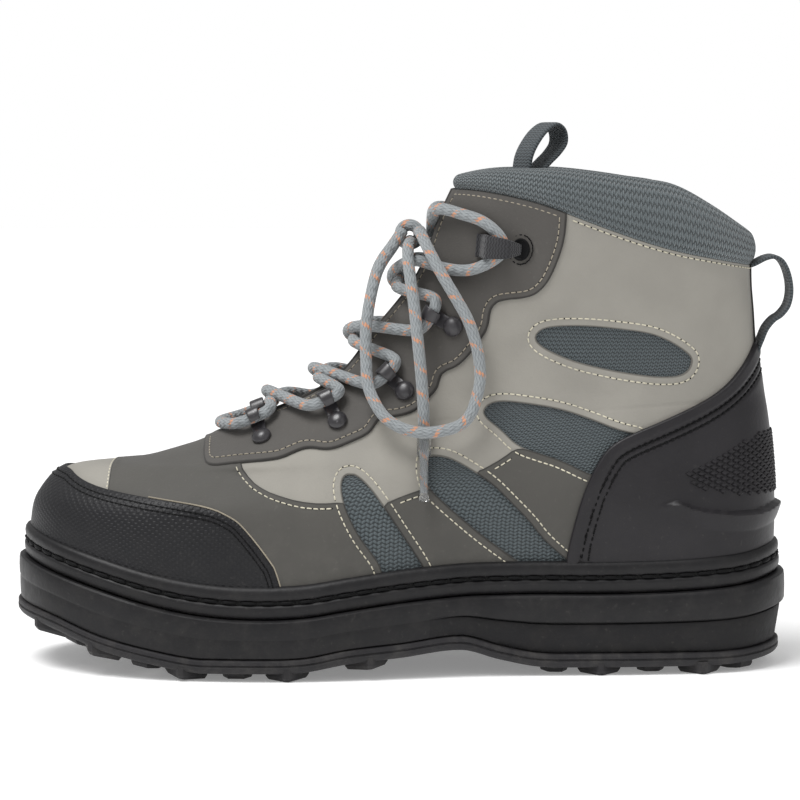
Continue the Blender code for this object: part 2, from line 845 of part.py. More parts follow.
def ribbon(name, path, across, width, thick):
    """A webbing strap that follows a path, with its width along one direction."""
    shape = bmesh.new()
    rows = []
    for index, point in enumerate(path):
        before = path[max(index - 1, 0)]
        after = path[min(index + 1, len(path) - 1)]
        along = (after - before).normalized()
        aside = across.cross(along).normalized() * thick / 2
        span = across * width / 2
        loop = [
            shape.verts.new(point + aside - span),
            shape.verts.new(point + aside + span),
            shape.verts.new(point - aside + span),
            shape.verts.new(point - aside - span),
        ]
        rows.append(loop + loop[:1])
    net(shape, rows)
    shape.faces.new(rows[0][:-1])
    shape.faces.new(rows[-1][:-1])
    return add_object(name, shape, "webbing")


LoopPoint = namedtuple("LoopPoint", "reach rise")
# Both straps' paths as shares of their height, from where the strap leaves the boot
TONGUE_LOOP = (
    LoopPoint(0.00, 0.00),
    LoopPoint(0.06, 0.32),
    LoopPoint(0.22, 0.60),
    LoopPoint(0.46, 0.86),
    LoopPoint(0.74, 1.00),
    LoopPoint(0.94, 0.88),
    LoopPoint(0.98, 0.62),
    LoopPoint(0.82, 0.40),
    LoopPoint(0.58, 0.20),
    LoopPoint(0.36, 0.00),
)
HEEL_LOOP = (
    LoopPoint(0.00, 1.00),
    LoopPoint(0.10, 1.05),
    LoopPoint(0.21, 1.07),
    LoopPoint(0.31, 1.02),
    LoopPoint(0.39, 0.87),
    LoopPoint(0.43, 0.65),
    LoopPoint(0.40, 0.45),
    LoopPoint(0.31, 0.32),
    LoopPoint(0.21, 0.25),
    LoopPoint(0.12, 0.14),
    LoopPoint(0.06, 0.00),
)
TONGUE_LOOP_HEIGHT = 0.0195
TONGUE_LOOP_TURN = 0.60
HEEL_LOOP_HEIGHT = 0.032


def tongue_loop():
    """The pull loop that stands on the tongue's top edge, turned a little to the side."""
    top = tongue_point(12.0, 0.0, -UPPER_WALL - TONGUE_GAP - TONGUE_THICK * 0.3)
    foot = Vector((top.x - 0.002, top.y, top.z + 4 * FIT + WEBBING_THICK / 2))
    ahead = Vector((math.cos(TONGUE_LOOP_TURN), math.sin(TONGUE_LOOP_TURN), 0))
    across = Vector((-ahead.y, ahead.x, 0))
    path = []
    for point in TONGUE_LOOP:
        flat = ahead * point.reach * TONGUE_LOOP_HEIGHT
        path.append(foot + flat + Vector((0, 0, point.rise * TONGUE_LOOP_HEIGHT)))
    ribbon("tongue_loop", path, across, TONGUE_LOOP_WIDTH, WEBBING_THICK)


def heel_loop():
    """The pull loop at the back, from the collar seam down to the counter."""
    foot = skin(8.0, 180.0)
    path = []
    for point in HEEL_LOOP:
        rise = foot.z + point.rise * HEEL_LOOP_HEIGHT
        x = foot.x + 2 * FIT + WEBBING_THICK / 2 + point.reach * HEEL_LOOP_HEIGHT
        path.append(Vector((x, 0.0, rise)))
    ribbon("heel_loop", path, Vector((0, 1, 0)), HEEL_LOOP_WIDTH, WEBBING_THICK)


HookRow = namedtuple("HookRow", "level angle ring_level ring_angle")
# Where each hook's disc is riveted, and the point that its ring leans to, from the toe up
HOOKS = (
    HookRow(5.39, 37.7, 6.08, 19.0),
    HookRow(6.03, 51.5, 6.63, 31.0),
    HookRow(6.82, 54.4, 7.25, 39.0),
    HookRow(8.23, 53.7, 8.45, 39.5),
)
HOOK_REACH = 0.0092
HOOK_SEAT = FIT + OVERLAY_WALL + 2 * FIT
RING_HOLE = LACE_DIAMETER / 2 + 0.0005
RING_RADIUS = RING_HOLE + HOOK_WALL


def cylinder(name, radius, depth, middle, turn, segments, finish):
    """A round solid along local Z, turned and moved."""
    shape = bmesh.new()
    bmesh.ops.create_cone(
        shape,
        cap_ends=True,
        segments=segments,
        radius1=radius,
        radius2=radius,
        depth=depth,
        matrix=Matrix.Translation(middle) @ turn,
    )
    return add_object(name, shape, finish)


def hook_mesh():
    """One lace hook: a riveted disc, a short plate and the ring that holds the lace."""
    level = Matrix.Rotation(math.radians(90), 4, "X")
    flat = Matrix.Identity(4)
    plate = bmesh.new()
    size = Vector((HOOK_REACH, HOOK_WIDTH, HOOK_WALL))
    scale = Matrix.Diagonal((*size, 1.0))
    bmesh.ops.create_cube(plate, size=1.0, matrix=Matrix.Translation((size.x / 2, 0, size.z / 2)) @ scale)
    body = add_object("hook_pattern", plate, "metal")
    centre = Vector((HOOK_REACH, 0, RING_RADIUS + HOOK_WALL * 0.1))
    ring_part = cylinder("hook_ring", RING_RADIUS, HOOK_WIDTH * 0.96, centre, level, 10, "metal")
    disc = cylinder(
        "hook_disc",
        HOOK_DISC_RADIUS,
        HOOK_WALL * 2,
        Vector((0, 0, HOOK_WALL * 1.05)),
        flat,
        10,
        "metal",
    )
    hole = cylinder("hook_hole", RING_HOLE, HOOK_WIDTH * 2, centre, level, 10, "metal")
    boolean(body, "UNION", ring_part)
    boolean(body, "UNION", disc)
    boolean(body, "DIFFERENCE", hole)
    bpy.context.view_layer.update()
    made = bpy.data.meshes.new_from_object(body.evaluated_get(bpy.context.evaluated_depsgraph_get()))
    for item in (body, ring_part, disc, hole):
        bpy.data.objects.remove(item, do_unlink=True)
    made.name = "lace_hook"
    return made


def hook_frame(row, inner):
    """Origin and axes of a hook: along to its ring, across along the lace, and out of the boot."""
    sign = -1 if inner else 1
    spot = surface(row.level, sign * row.angle, HOOK_SEAT)
    out = outward(row.level, sign * row.angle)
    target = surface(row.ring_level, sign * row.ring_angle, HOOK_SEAT)
    along = target - spot
    along = (along - out * along.dot(out)).normalized()
    across = out.cross(along)
    if across.z < 0:
        across = -across
    return spot, along, across, out


def lace_hooks():
    """Four hooks down each side."""
    pattern = hook_mesh()
    for inner in (False, True):
        for number, row in enumerate(HOOKS, 1):
            spot, along, across, out = hook_frame(row, inner)
            side = "inner" if inner else "outer"
            made = bpy.data.objects.new(f"lace_hook_{side}_{number}", pattern)
            turn = Matrix((along, out.cross(along), out)).transposed().to_4x4()
            made.matrix_world = Matrix.Translation(spot) @ turn
            bpy.context.collection.objects.link(made)


def keeper_frame(inner):
    """Origin and axes of the webbing keeper near the collar."""
    sign = -1 if inner else 1
    spot = surface(9.65, sign * 47.4, HOOK_SEAT)
    target = surface(9.70, sign * 64.0, HOOK_SEAT)
    out = outward(9.68, sign * 56.0)
    along = target - spot
    reach = along.length
    along = (along - out * along.dot(out)).normalized()
    return spot, along, out, reach


KeeperPoint = namedtuple("KeeperPoint", "reach lift")
# The strap's path over the lace: share of its length, and share of the lace's diameter
KEEPER = (
    KeeperPoint(0.00, 0.20),
    KeeperPoint(0.12, 0.24),
    KeeperPoint(0.22, 0.70),
    KeeperPoint(0.32, 1.40),
    KeeperPoint(0.42, 1.70),
    KeeperPoint(0.86, 1.70),
    KeeperPoint(0.97, 1.10),
    KeeperPoint(1.05, 0.30),
)
KEEPER_WIDTH = 0.0090
KEEPER_LACE = 0.74


def keepers():
    """A webbing strap on each side that holds the lace's highest turn."""
    for inner in (False, True):
        spot, along, out, reach = keeper_frame(inner)
        path = []
        for point in KEEPER:
            path.append(spot + along * reach * point.reach + out * LACE_DIAMETER * point.lift)
        across = out.cross(along).normalized()
        side = "inner" if inner else "outer"
        ribbon(f"lace_keeper_{side}", path, across, KEEPER_WIDTH, WEBBING_THICK * 0.6)


def smooth_route(points, spacing):
    """Points at an even spacing on a smooth curve through the route's own points."""
    lengths = [0.0]
    for before, after in zip(points, points[1:]):
        lengths.append(lengths[-1] + (after - before).length)
    count = max(round(lengths[-1] / spacing), 2) + 1
    route = []
    for length in spread(0.0, lengths[-1], count):
        route.append(Vector([curve(lengths, [point[axis] for point in points], length) for axis in range(3)]))
    return route


def tube(name, points, radius, sides, finish):
    """A round bar along points, closed at both ends."""
    shape = bmesh.new()
    rows = []
    aside = None
    for index, point in enumerate(points):
        before = points[max(index - 1, 0)]
        after = points[min(index + 1, len(points) - 1)]
        along = (after - before).normalized()
        if aside is None:
            aside = along.orthogonal()
        aside = (aside - along * aside.dot(along)).normalized()
        other = along.cross(aside)
        loop = []
        for step in range(sides):
            turn = 2 * math.pi * step / sides
            loop.append(shape.verts.new(point + (aside * math.cos(turn) + other * math.sin(turn)) * radius))
        rows.append(loop + loop[:1])
    net(shape, rows)
    shape.faces.new(rows[0][:-1])
    shape.faces.new(rows[-1][:-1])
    return add_object(name, shape, finish)


def ring_end(number, inner, upwards):
    """The lace's centre where it leaves a hook's ring, and the way that it leaves."""
    spot, along, across, out = hook_frame(HOOKS[number], inner)
    way = across if upwards else -across
    centre = spot + along * HOOK_REACH + out * (RING_RADIUS + HOOK_WALL * 0.1)
    return centre + way * (HOOK_WIDTH / 2 + 2 * FIT), way


# Level and height over the throat at which each pair of strands crosses
CrossingRow = namedtuple("CrossingRow", "level lift")
CROSSINGS = (
    CrossingRow(6.40, 0.0075),
    CrossingRow(6.98, 0.0065),
    CrossingRow(7.88, 0.0050),
)
LACE_LEAD = 0.0036
# Where the strands pass over the facing's edge: share of the way to the crossing, angle and height
EDGE_SHARE = 0.75
EDGE_ANGLE = 17.0
EDGE_LIFT = 0.0066
LACE_STEP = 0.0072
LACE_SIDES = 6
LACE_SEAT = HOOK_SEAT + LACE_DIAMETER / 2 + FIT


def crossing(number):
    """Two strands that cross the throat between one pair of hooks and the next."""
    row = CROSSINGS[number]
    middle = surface(row.level, 0.0, row.lift)
    strands = []
    for inner in (False, True):
        sign = -1 if inner else 1
        start, leave = ring_end(number, inner, True)
        stop, arrive = ring_end(number + 1, not inner, False)
        low = mix(HOOKS[number].ring_level, row.level, EDGE_SHARE)
        high = mix(HOOKS[number + 1].ring_level, row.level, EDGE_SHARE)
        over = surface(low, sign * EDGE_ANGLE, EDGE_LIFT)
        down = surface(high, -sign * EDGE_ANGLE, EDGE_LIFT)
        route = [start + leave * LACE_LEAD, over, middle, down, stop + arrive * LACE_LEAD]
        strands.append([start, *smooth_route(route, LACE_STEP), stop])
    name = f"lace_crossing_{number + 1}"
    body = tube(name, strands[0], LACE_DIAMETER / 2, LACE_SIDES, "lace")
    boolean(body, "UNION", tube(name + "_other", strands[1], LACE_DIAMETER / 2, LACE_SIDES, "lace"))


def lace_bar():
    """The lowest run of the lace, across the foot of the throat."""
    start, leave = ring_end(0, False, False)
    stop, arrive = ring_end(0, True, False)
    middle = surface(5.72, 0.0, 0.0048)
    route = [start + leave * LACE_LEAD, middle, stop + arrive * LACE_LEAD]
    route = [start, *smooth_route(route, LACE_STEP), stop]
    tube("lace_bar", route, LACE_DIAMETER / 2, LACE_SIDES, "lace")


# The lace's way from the throat round a keeper and back: level, angle and distance over its seat
TurnPoint = namedtuple("TurnPoint", "level angle lift")
KEEPER_TURN = (
    TurnPoint(9.26, 20.0, 0.0018),
    TurnPoint(9.20, 36.0, 0.0003),
    TurnPoint(9.24, 50.0, 0.0003),
    TurnPoint(10.10, 50.0, 0.0003),
    TurnPoint(10.20, 38.0, 0.0003),
    TurnPoint(10.26, 24.0, 0.0022),
)


def top_crossing():
    """The strands from the top hooks, round both keepers and back to the knot."""
    middle = surface(8.95, 0.0, 0.0052)
    strands = []
    for inner in (False, True):
        sign = 1 if inner else -1
        start, leave = ring_end(len(HOOKS) - 1, inner, True)
        spot, along, out, reach = keeper_frame(not inner)
        apex = spot + along * reach * KEEPER_LACE + out * (LACE_DIAMETER / 2 + FIT * 0.5)
        turn = [surface(row.level, sign * row.angle, LACE_SEAT + row.lift) for row in KEEPER_TURN]
        knot = KNOT + Vector((0.0092, -sign * 0.0028, 0.0008))
        over = surface(8.72, -sign * EDGE_ANGLE, EDGE_LIFT)
        route = [start + leave * LACE_LEAD, over, middle, *turn[:3], apex, *turn[3:], knot]
        strands.append([start, *smooth_route(route, LACE_STEP * 0.74)])
    body = tube("lace_crossing_4", strands[0], LACE_DIAMETER / 2, LACE_SIDES, "lace")
    boolean(
        body,
        "UNION",
        tube("lace_crossing_4_other", strands[1], LACE_DIAMETER / 2, LACE_SIDES, "lace"),
    )


# The free lace in metres: the knot's centre, the bow and the hanging end on the outer side
KNOT = Vector((0.0036, 0.0, 0.1785))
KNOT_TURN = 0.0040
BOW_ROUTE = (
    (0.0006, -0.0048, 0.1800),
    (-0.0037, -0.0105, 0.1735),
    (-0.0078, -0.0145, 0.1677),
    (-0.0102, -0.0185, 0.1625),
    (-0.0127, -0.0245, 0.1525),
    (-0.0143, -0.0290, 0.1405),
    (-0.0142, -0.0320, 0.1285),
    (-0.0134, -0.0355, 0.1185),
    (-0.0105, -0.0395, 0.1115),
    (-0.0065, -0.0425, 0.1060),
    (-0.0004, -0.0450, 0.1021),
    (0.0077, -0.0464, 0.1002),
    (0.0158, -0.0468, 0.1007),
    (0.0238, -0.0460, 0.1031),
    (0.0279, -0.0448, 0.1071),
    (0.0303, -0.0435, 0.1131),
    (0.0320, -0.0420, 0.1210),
    (0.0316, -0.0412, 0.1291),
    (0.0299, -0.0408, 0.1372),
    (0.0271, -0.0402, 0.1452),
    (0.0227, -0.0385, 0.1532),
    (0.0179, -0.0360, 0.1612),
    (0.0139, -0.0325, 0.1683),
    (0.0106, -0.0275, 0.1745),
    (0.0084, -0.0180, 0.1790),
    (0.0074, -0.0050, 0.1800),
)
END_ROUTE = (
    (0.0038, -0.0054, 0.1758),
    (0.0030, -0.0165, 0.1740),
    (0.0029, -0.0232, 0.1697),
    (0.0037, -0.0292, 0.1625),
    (0.0052, -0.0345, 0.1520),
    (0.0066, -0.0385, 0.1390),
    (0.0080, -0.0402, 0.1250),
    (0.0090, -0.0404, 0.1115),
    (0.0093, -0.0406, 0.1005),
)
AGLET_TIP = (0.0093, -0.0490, 0.0728)


def cord(name, points, radius, finish):
    """A free stretch of lace as a curve with filled ends."""
    data = bpy.data.curves.new(name, "CURVE")
    data.dimensions = "3D"
    data.bevel_depth = radius
    data.bevel_resolution = 2
    data.use_fill_caps = True
    line = data.splines.new("POLY")
    line.points.add(len(points) - 1)
    for spot, point in zip(line.points, points):
        spot.co = (*point, 1.0)
    data.materials.append(material(finish))
    made = bpy.data.objects.new(name, data)
    bpy.context.collection.objects.link(made)


def lace_ends():
    """The knot, and on each side a bow and a hanging end with its clear tip."""
    turn = []
    for step in range(11):
        angle = math.radians(20 + 32 * step)
        turn.append(KNOT + Vector((math.cos(angle) * KNOT_TURN, 0.0, math.sin(angle) * KNOT_TURN)))
    cord("lace_knot", turn, LACE_DIAMETER / 2, "lace")
    for side, flip in (("outer", 1), ("inner", -1)):
        bow = [Vector((x, y * flip, z)) for x, y, z in BOW_ROUTE]
        end = [Vector((x, y * flip, z)) for x, y, z in END_ROUTE]
        tip = Vector((AGLET_TIP[0], AGLET_TIP[1] * flip, AGLET_TIP[2]))
        cord(f"lace_bow_{side}", smooth_route(bow, LACE_DIAMETER * 2.5), LACE_DIAMETER / 2, "lace")
        cord(f"lace_end_{side}", smooth_route(end, LACE_DIAMETER * 2.5), LACE_DIAMETER / 2, "lace")
        down = (tip - end[-1]).normalized()
        shape = bmesh.new()
        bmesh.ops.create_cone(
            shape,
            cap_ends=True,
            segments=10,
            radius1=AGLET_RADIUS,
            radius2=AGLET_RADIUS,
            depth=(tip - end[-1]).length - 2 * FIT,
            matrix=Matrix.Translation((tip + end[-1]) / 2 + down * FIT)
            @ down.to_track_quat("Z", "Y").to_matrix().to_4x4(),
        )
        add_object(f"aglet_{side}", shape, "clear")


clear_scene()
outsole()
midsole()
welt()
upper()
insole()
toe_guard()
heel_counter()
eyestay()
collar_pad()
tongue()
tongue_loop()
heel_loop()
lace_hooks()
keepers()
lace_bar()
for number in range(len(CROSSINGS)):
    crossing(number)
top_crossing()
lace_ends()
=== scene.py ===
"""Wading boot for the left foot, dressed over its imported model.

Rings lean from the front of the foot to its back and are counted in levels, from the featherline (0)
to the collar seam (11). An angle goes round a ring from the front (0) over the outer side (90) to the
heel (180). Sizes are metres.
"""

import math

import bmesh
import bpy
import numpy as np
from mathutils import Matrix, Vector


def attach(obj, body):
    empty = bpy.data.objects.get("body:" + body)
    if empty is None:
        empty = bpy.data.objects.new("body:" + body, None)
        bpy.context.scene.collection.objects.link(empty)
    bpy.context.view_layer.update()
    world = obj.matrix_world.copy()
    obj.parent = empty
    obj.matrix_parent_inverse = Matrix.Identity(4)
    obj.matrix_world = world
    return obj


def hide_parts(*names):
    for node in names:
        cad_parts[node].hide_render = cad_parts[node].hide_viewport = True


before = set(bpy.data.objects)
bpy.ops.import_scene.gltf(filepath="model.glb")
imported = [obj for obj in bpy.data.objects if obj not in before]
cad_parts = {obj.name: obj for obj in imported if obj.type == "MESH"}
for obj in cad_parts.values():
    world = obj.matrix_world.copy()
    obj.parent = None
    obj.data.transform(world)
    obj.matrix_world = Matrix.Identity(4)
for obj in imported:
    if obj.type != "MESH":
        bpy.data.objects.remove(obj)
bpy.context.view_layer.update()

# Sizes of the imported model
LENGTH = 0.307
BALL_WIDTH = 0.097
SHAFT_HEIGHT = 0.1625
HEEL_STACK = 0.0335
TOE_SPRING = 0.018
ARCH_HEIGHT = 0.008
LUG_DEPTH = 0.0032
OUTSOLE_THICK = 0.0058
OUTSOLE_OUT = 0.0080
HEEL_TAPER = 0.0030
WELT_HEIGHT = 0.0132
UPPER_WALL = 0.0024
COLLAR_PAD_HEIGHT = 0.026
COLLAR_PAD_THICK = 0.0095
COLLAR_CROWN = 0.0048
TONGUE_THICK = 0.0060
TONGUE_LEAN = 0.030
TONGUE_GAP = 0.0014
TONGUE_LOW = 5.2
TONGUE_HIGH = 12.0
LACE_DIAMETER = 0.0048
FIT = 0.0003
TOP = 11

# Front place and rise, back place and rise, then half widths at 5, 18, 37, 63, 82 and 95 per cent
SECTIONS = np.array(
    (
        (0.000, 0.000, 1.000, 0.000, 0.330, 0.493, 0.490, 0.340, 0.335, 0.278),
        (-0.001, 0.087, 1.002, 0.107, 0.340, 0.505, 0.495, 0.366, 0.361, 0.289),
        (0.010, 0.167, 1.002, 0.168, 0.299, 0.469, 0.474, 0.381, 0.376, 0.289),
        (0.050, 0.255, 1.001, 0.236, 0.175, 0.351, 0.428, 0.387, 0.376, 0.278),
        (0.138, 0.318, 0.997, 0.330, 0.175, 0.366, 0.397, 0.381, 0.364, 0.253),
        (0.213, 0.385, 0.992, 0.406, 0.175, 0.330, 0.356, 0.371, 0.351, 0.232),
        (0.282, 0.454, 0.987, 0.463, 0.170, 0.289, 0.345, 0.361, 0.340, 0.216),
        (0.399, 0.553, 0.982, 0.533, 0.155, 0.268, 0.340, 0.356, 0.325, 0.206),
        (0.454, 0.665, 0.977, 0.603, 0.155, 0.273, 0.356, 0.366, 0.325, 0.201),
        (0.513, 0.793, 0.974, 0.678, 0.165, 0.299, 0.381, 0.387, 0.335, 0.201),
        (0.542, 0.930, 0.971, 0.740, 0.180, 0.320, 0.402, 0.407, 0.351, 0.211),
        (0.560, 1.004, 0.970, 0.793, 0.191, 0.330, 0.418, 0.423, 0.361, 0.216),
    )
)
SHARES = np.array((0.05, 0.18, 0.37, 0.63, 0.82, 0.95))
SOLE_PLACES = (
    (-0.03, 0.03, 0.10, 0.17, 0.235, 0.30, 0.37, 0.43, 0.50)
    + (0.58, 0.63, 0.685, 0.76, 0.85, 0.92, 0.97, 1.03)
)
SOLE_SPRING = (1.00, 0.82, 0.43, 0.17, 0, 0, 0, 0, 0, 0, 0, 0, 0, 0, 0, 0.04, 0.14)
SOLE_ARCH = (0, 0, 0, 0, 0, 0, 0.06, 0.45, 0.70, 1.00, 0.47, 0.05, 0, 0, 0, 0, 0)
SOLE_TOP = (
    (1.382, 1.227, 1.051, 0.887, 0.782, 0.740, 0.758, 0.836, 0.919)
    + (0.982, 0.991, 0.994, 0.988, 1.003, 1.042, 1.093, 1.209)
)
SWING = ((0.00, 0.05, 0.18, 0.37, 0.63, 0.82, 1.00), (0.082, 0.062, 0.022, -0.028, -0.036, -0.006, 0.0))
COLLAR_SHARES = (0.00, 0.06, 0.15, 0.28, 0.37, 0.48, 0.61, 0.74, 0.88, 1.00)
COLLAR_CROWNS = (0.00, 0.55, 0.90, 1.00, 0.80, 0.40, 0.00, -0.20, -0.10, 0.00)
COLLAR_PADS = (0.16, 0.28, 0.40, 0.53, 0.65, 0.79, 0.92, 1.00, 0.83, 0.60)
THROAT = ((6.0, 6.25, 6.6, 7.2, 9.0, 11.0), (0.0, 11.0, 15.0, 17.0, 18.5, 21.0))

# How far each layer lies outside the foot's skin
MESH_OUT = 0.0000
BEIGE_OUT = 0.0008
OLIVE_OUT = 0.0012
HEEL_STRIP_OUT = BEIGE_OUT + 0.0007
FACING_OUT = 0.0020
GUARD_OUT = 0.0021
COUNTER_OUT = 0.0023
# How far each seam lies from its edge
INSERT_SEAM = 0.0027
PANEL_SEAM = 0.0018
FACING_SEAM = 0.0021


def mix(start, end, share):
    """A value between two others."""
    return start + (end - start) * share


def ease(value):
    """A soft step from 0 to 1."""
    value = np.clip(value, 0.0, 1.0)
    return value * value * (3 - 2 * value)


def curve(keys, values, key):
    """Values at keys on a smooth curve through a table's rows, or through one row per key."""
    keys = np.asarray(keys, float)
    values = np.asarray(values, float)
    key = np.clip(np.asarray(key, float), keys[0], keys[-1])
    spot = np.clip(np.searchsorted(keys, key, "right") - 1, 0, len(keys) - 2)
    index = np.arange(len(keys))
    before, after = np.maximum(index - 1, 0), np.minimum(index + 1, len(keys) - 1)
    gap = keys[after] - keys[before]
    span = keys[spot + 1] - keys[spot]
    part = (key - keys[spot]) / span
    if values.ndim == 2 and len(values) != len(keys):
        slope = (values[:, after] - values[:, before]) / gap
        row = np.arange(len(values))
        ends = values[row, spot], values[row, spot + 1]
        slopes = slope[row, spot], slope[row, spot + 1]
    else:
        if values.ndim == 2:
            gap, part, span = gap[:, None], part[..., None], span[..., None]
        slope = (values[after] - values[before]) / gap
        ends = values[spot], values[spot + 1]
        slopes = slope[spot], slope[spot + 1]
    first = (1 + 2 * part) * (1 - part) ** 2 * ends[0]
    second = part * (1 - part) ** 2 * span * slopes[0]
    third = part**2 * (3 - 2 * part) * ends[1]
    return first + second + third + part**2 * (part - 1) * span * slopes[1]


def unit(ways):
    """Ways at a length of one."""
    return ways / np.linalg.norm(ways, axis=-1, keepdims=True)


def lengths_along(path):
    """Length gone at each point of a path."""
    return np.concatenate(([0], np.cumsum(np.linalg.norm(np.diff(path, axis=0), axis=1))))


def along_line(at, gone, values):
    """Rows of values read at lengths along a line."""
    return np.stack([np.interp(at, gone, column) for column in values.T], -1)


def fuller(value, power):
    """A value from -1 to 1 under a power, with its sign."""
    return np.sign(value) * np.abs(value) ** power


def at_place(place):
    """Where a share of the length lies along X."""
    return (place - 0.5) * LENGTH


def sole_top(x):
    """Height of the sole's upper face."""
    return HEEL_STACK * curve(SOLE_PLACES, SOLE_TOP, x / LENGTH + 0.5)


def tread(x):
    """Height of the lugs' lowest faces."""
    place = x / LENGTH + 0.5
    spring = TOE_SPRING * curve(SOLE_PLACES, SOLE_SPRING, place)
    return np.maximum(spring, 0) + np.maximum(ARCH_HEIGHT * curve(SOLE_PLACES, SOLE_ARCH, place), 0)


def swing(x, level):
    """How far the centre line lies towards the inner side."""
    return BALL_WIDTH * curve(*SWING, x / LENGTH + 0.5) * (1 - ease(level / TOP))


def skin(level, angle):
    """Points of the upper's outer face."""
    level, angle = np.broadcast_arrays(np.asarray(level, float), np.asarray(angle, float))
    shape = level.shape
    level, angle = level.ravel(), (angle.ravel() + 180) % 360 - 180
    table = curve(range(len(SECTIONS)), SECTIONS, level)
    front, back = at_place(table[:, 0]), at_place(table[:, 2])
    front_z = sole_top(front) + SHAFT_HEIGHT * table[:, 1] + FIT
    back_z = sole_top(back) + SHAFT_HEIGHT * table[:, 3] + FIT
    share = (1 - np.cos(np.radians(angle))) / 2
    x = mix(front, back, share)
    z = mix(front_z, back_z, share)
    z += (sole_top(x) - mix(sole_top(front), sole_top(back), share)) * (1 - ease(level / 2))
    z += COLLAR_CROWN * curve(COLLAR_SHARES, COLLAR_CROWNS, share) * ease((level - TOP + 3) / 3)
    turns = np.degrees(np.arccos(1 - 2 * SHARES))
    keys = [-turns[0], 0.0, *turns, 180.0, 360 - turns[-1]]
    halves = BALL_WIDTH * table[:, 4:]
    none = np.zeros((len(level), 1))
    halves = np.hstack((-halves[:, :1], none, halves, none, -halves[:, -1:]))
    wide = curve(keys, halves, np.abs(angle))
    side = np.where(angle >= 0, -1.0, 1.0)
    return np.stack((x, swing(x, level) + side * wide, z), -1).reshape(*shape, 3)


def outward(level, angle):
    """Unit vectors that point out of the upper."""
    up = skin(np.minimum(level + 0.05, TOP), angle) - skin(np.maximum(level - 0.05, 0), angle)
    turn = skin(level, angle + 1.0) - skin(level, angle - 1.0)
    return unit(np.cross(turn, up))


def surface(level, angle, out):
    """Points at a distance outside the upper's face."""
    level, angle = np.broadcast_arrays(np.asarray(level, float), np.asarray(angle, float))
    return skin(level, angle) + outward(level, angle) * np.asarray(out)[..., None]


def throat_edge(level):
    """Angle of the throat's edge."""
    return np.where(level <= 6, 0.0, curve(*THROAT, level))


# Arc lengths that patterns follow: round the foot at mid height, and up the side
ANGLES = np.linspace(-180, 180, 721)
ARC = lengths_along(skin(5.0, ANGLES))
LEVELS = np.linspace(0, TOP, 221)
RISE = lengths_along(skin(LEVELS, 75.0))


def level_at(rise):
    """Level at a length up the side."""
    return np.interp(rise, RISE, LEVELS)


# Known points of the outer side, where a search for others starts
SPOTS = np.stack(np.meshgrid(np.linspace(0, TOP, 111), np.linspace(1, 179, 179), indexing="ij"), -1)
SPOT_POINTS = skin(SPOTS[..., 0], SPOTS[..., 1])[..., (0, 2)]


def locate(points):
    """Levels and outer-side angles of points given as x and z in a side view."""
    points = np.asarray(points, float)
    level, angle = np.empty(len(points)), np.empty(len(points))
    for index, point in enumerate(points):
        near = np.linalg.norm(SPOT_POINTS - point, axis=-1)
        level[index], angle[index] = SPOTS[np.unravel_index(near.argmin(), near.shape)]
    for _ in range(8):
        miss = points - skin(level, angle)[:, (0, 2)]
        up = (skin(level + 0.02, angle) - skin(level - 0.02, angle))[:, (0, 2)] / 0.04
        turn = (skin(level, angle + 0.5) - skin(level, angle - 0.5))[:, (0, 2)]
        size = up[:, 0] * turn[:, 1] - turn[:, 0] * up[:, 1]
        size = np.where(np.abs(size) < 1e-9, 1e-9, size)
        level += np.clip((miss[:, 0] * turn[:, 1] - miss[:, 1] * turn[:, 0]) / size, -0.3, 0.3)
        angle += np.clip((up[:, 0] * miss[:, 1] - up[:, 1] * miss[:, 0]) / size, -4, 4)
        level, angle = np.clip(level, 0, TOP), np.clip(angle, 0.5, 179.5)
    return level, angle


def millimetres(*points):
    """Points given in millimetres, in metres."""
    return np.array(points) / 1000


def rounded(points, cuts=2):
    """An outline with its corners cut round."""
    for _ in range(cuts):
        after = np.roll(points, -1, axis=0)
        points = np.stack((mix(points, after, 0.25), mix(points, after, 0.75)), 1).reshape(-1, 2)
    return points


def inside_by(outline, x, z):
    """Distance inside a closed side outline, negative outside."""
    point = np.stack((x, z), -1)
    start, end = outline, np.roll(outline, -1, axis=0)
    nearest = np.full(len(x), 9.0)
    inside = np.zeros(len(x), bool)
    for a, b in zip(start, end):
        way = b - a
        share = np.clip(((point - a) @ way) / max(way @ way, 1e-12), 0, 1)
        nearest = np.minimum(nearest, np.linalg.norm(point - a - share[:, None] * way, axis=1))
        crosses = (a[1] > z) != (b[1] > z)
        rise = np.where(b[1] == a[1], 1.0, b[1] - a[1])
        inside ^= crosses & (x < a[0] + (z - a[1]) / rise * way[0])
    return np.where(inside, nearest, -nearest)


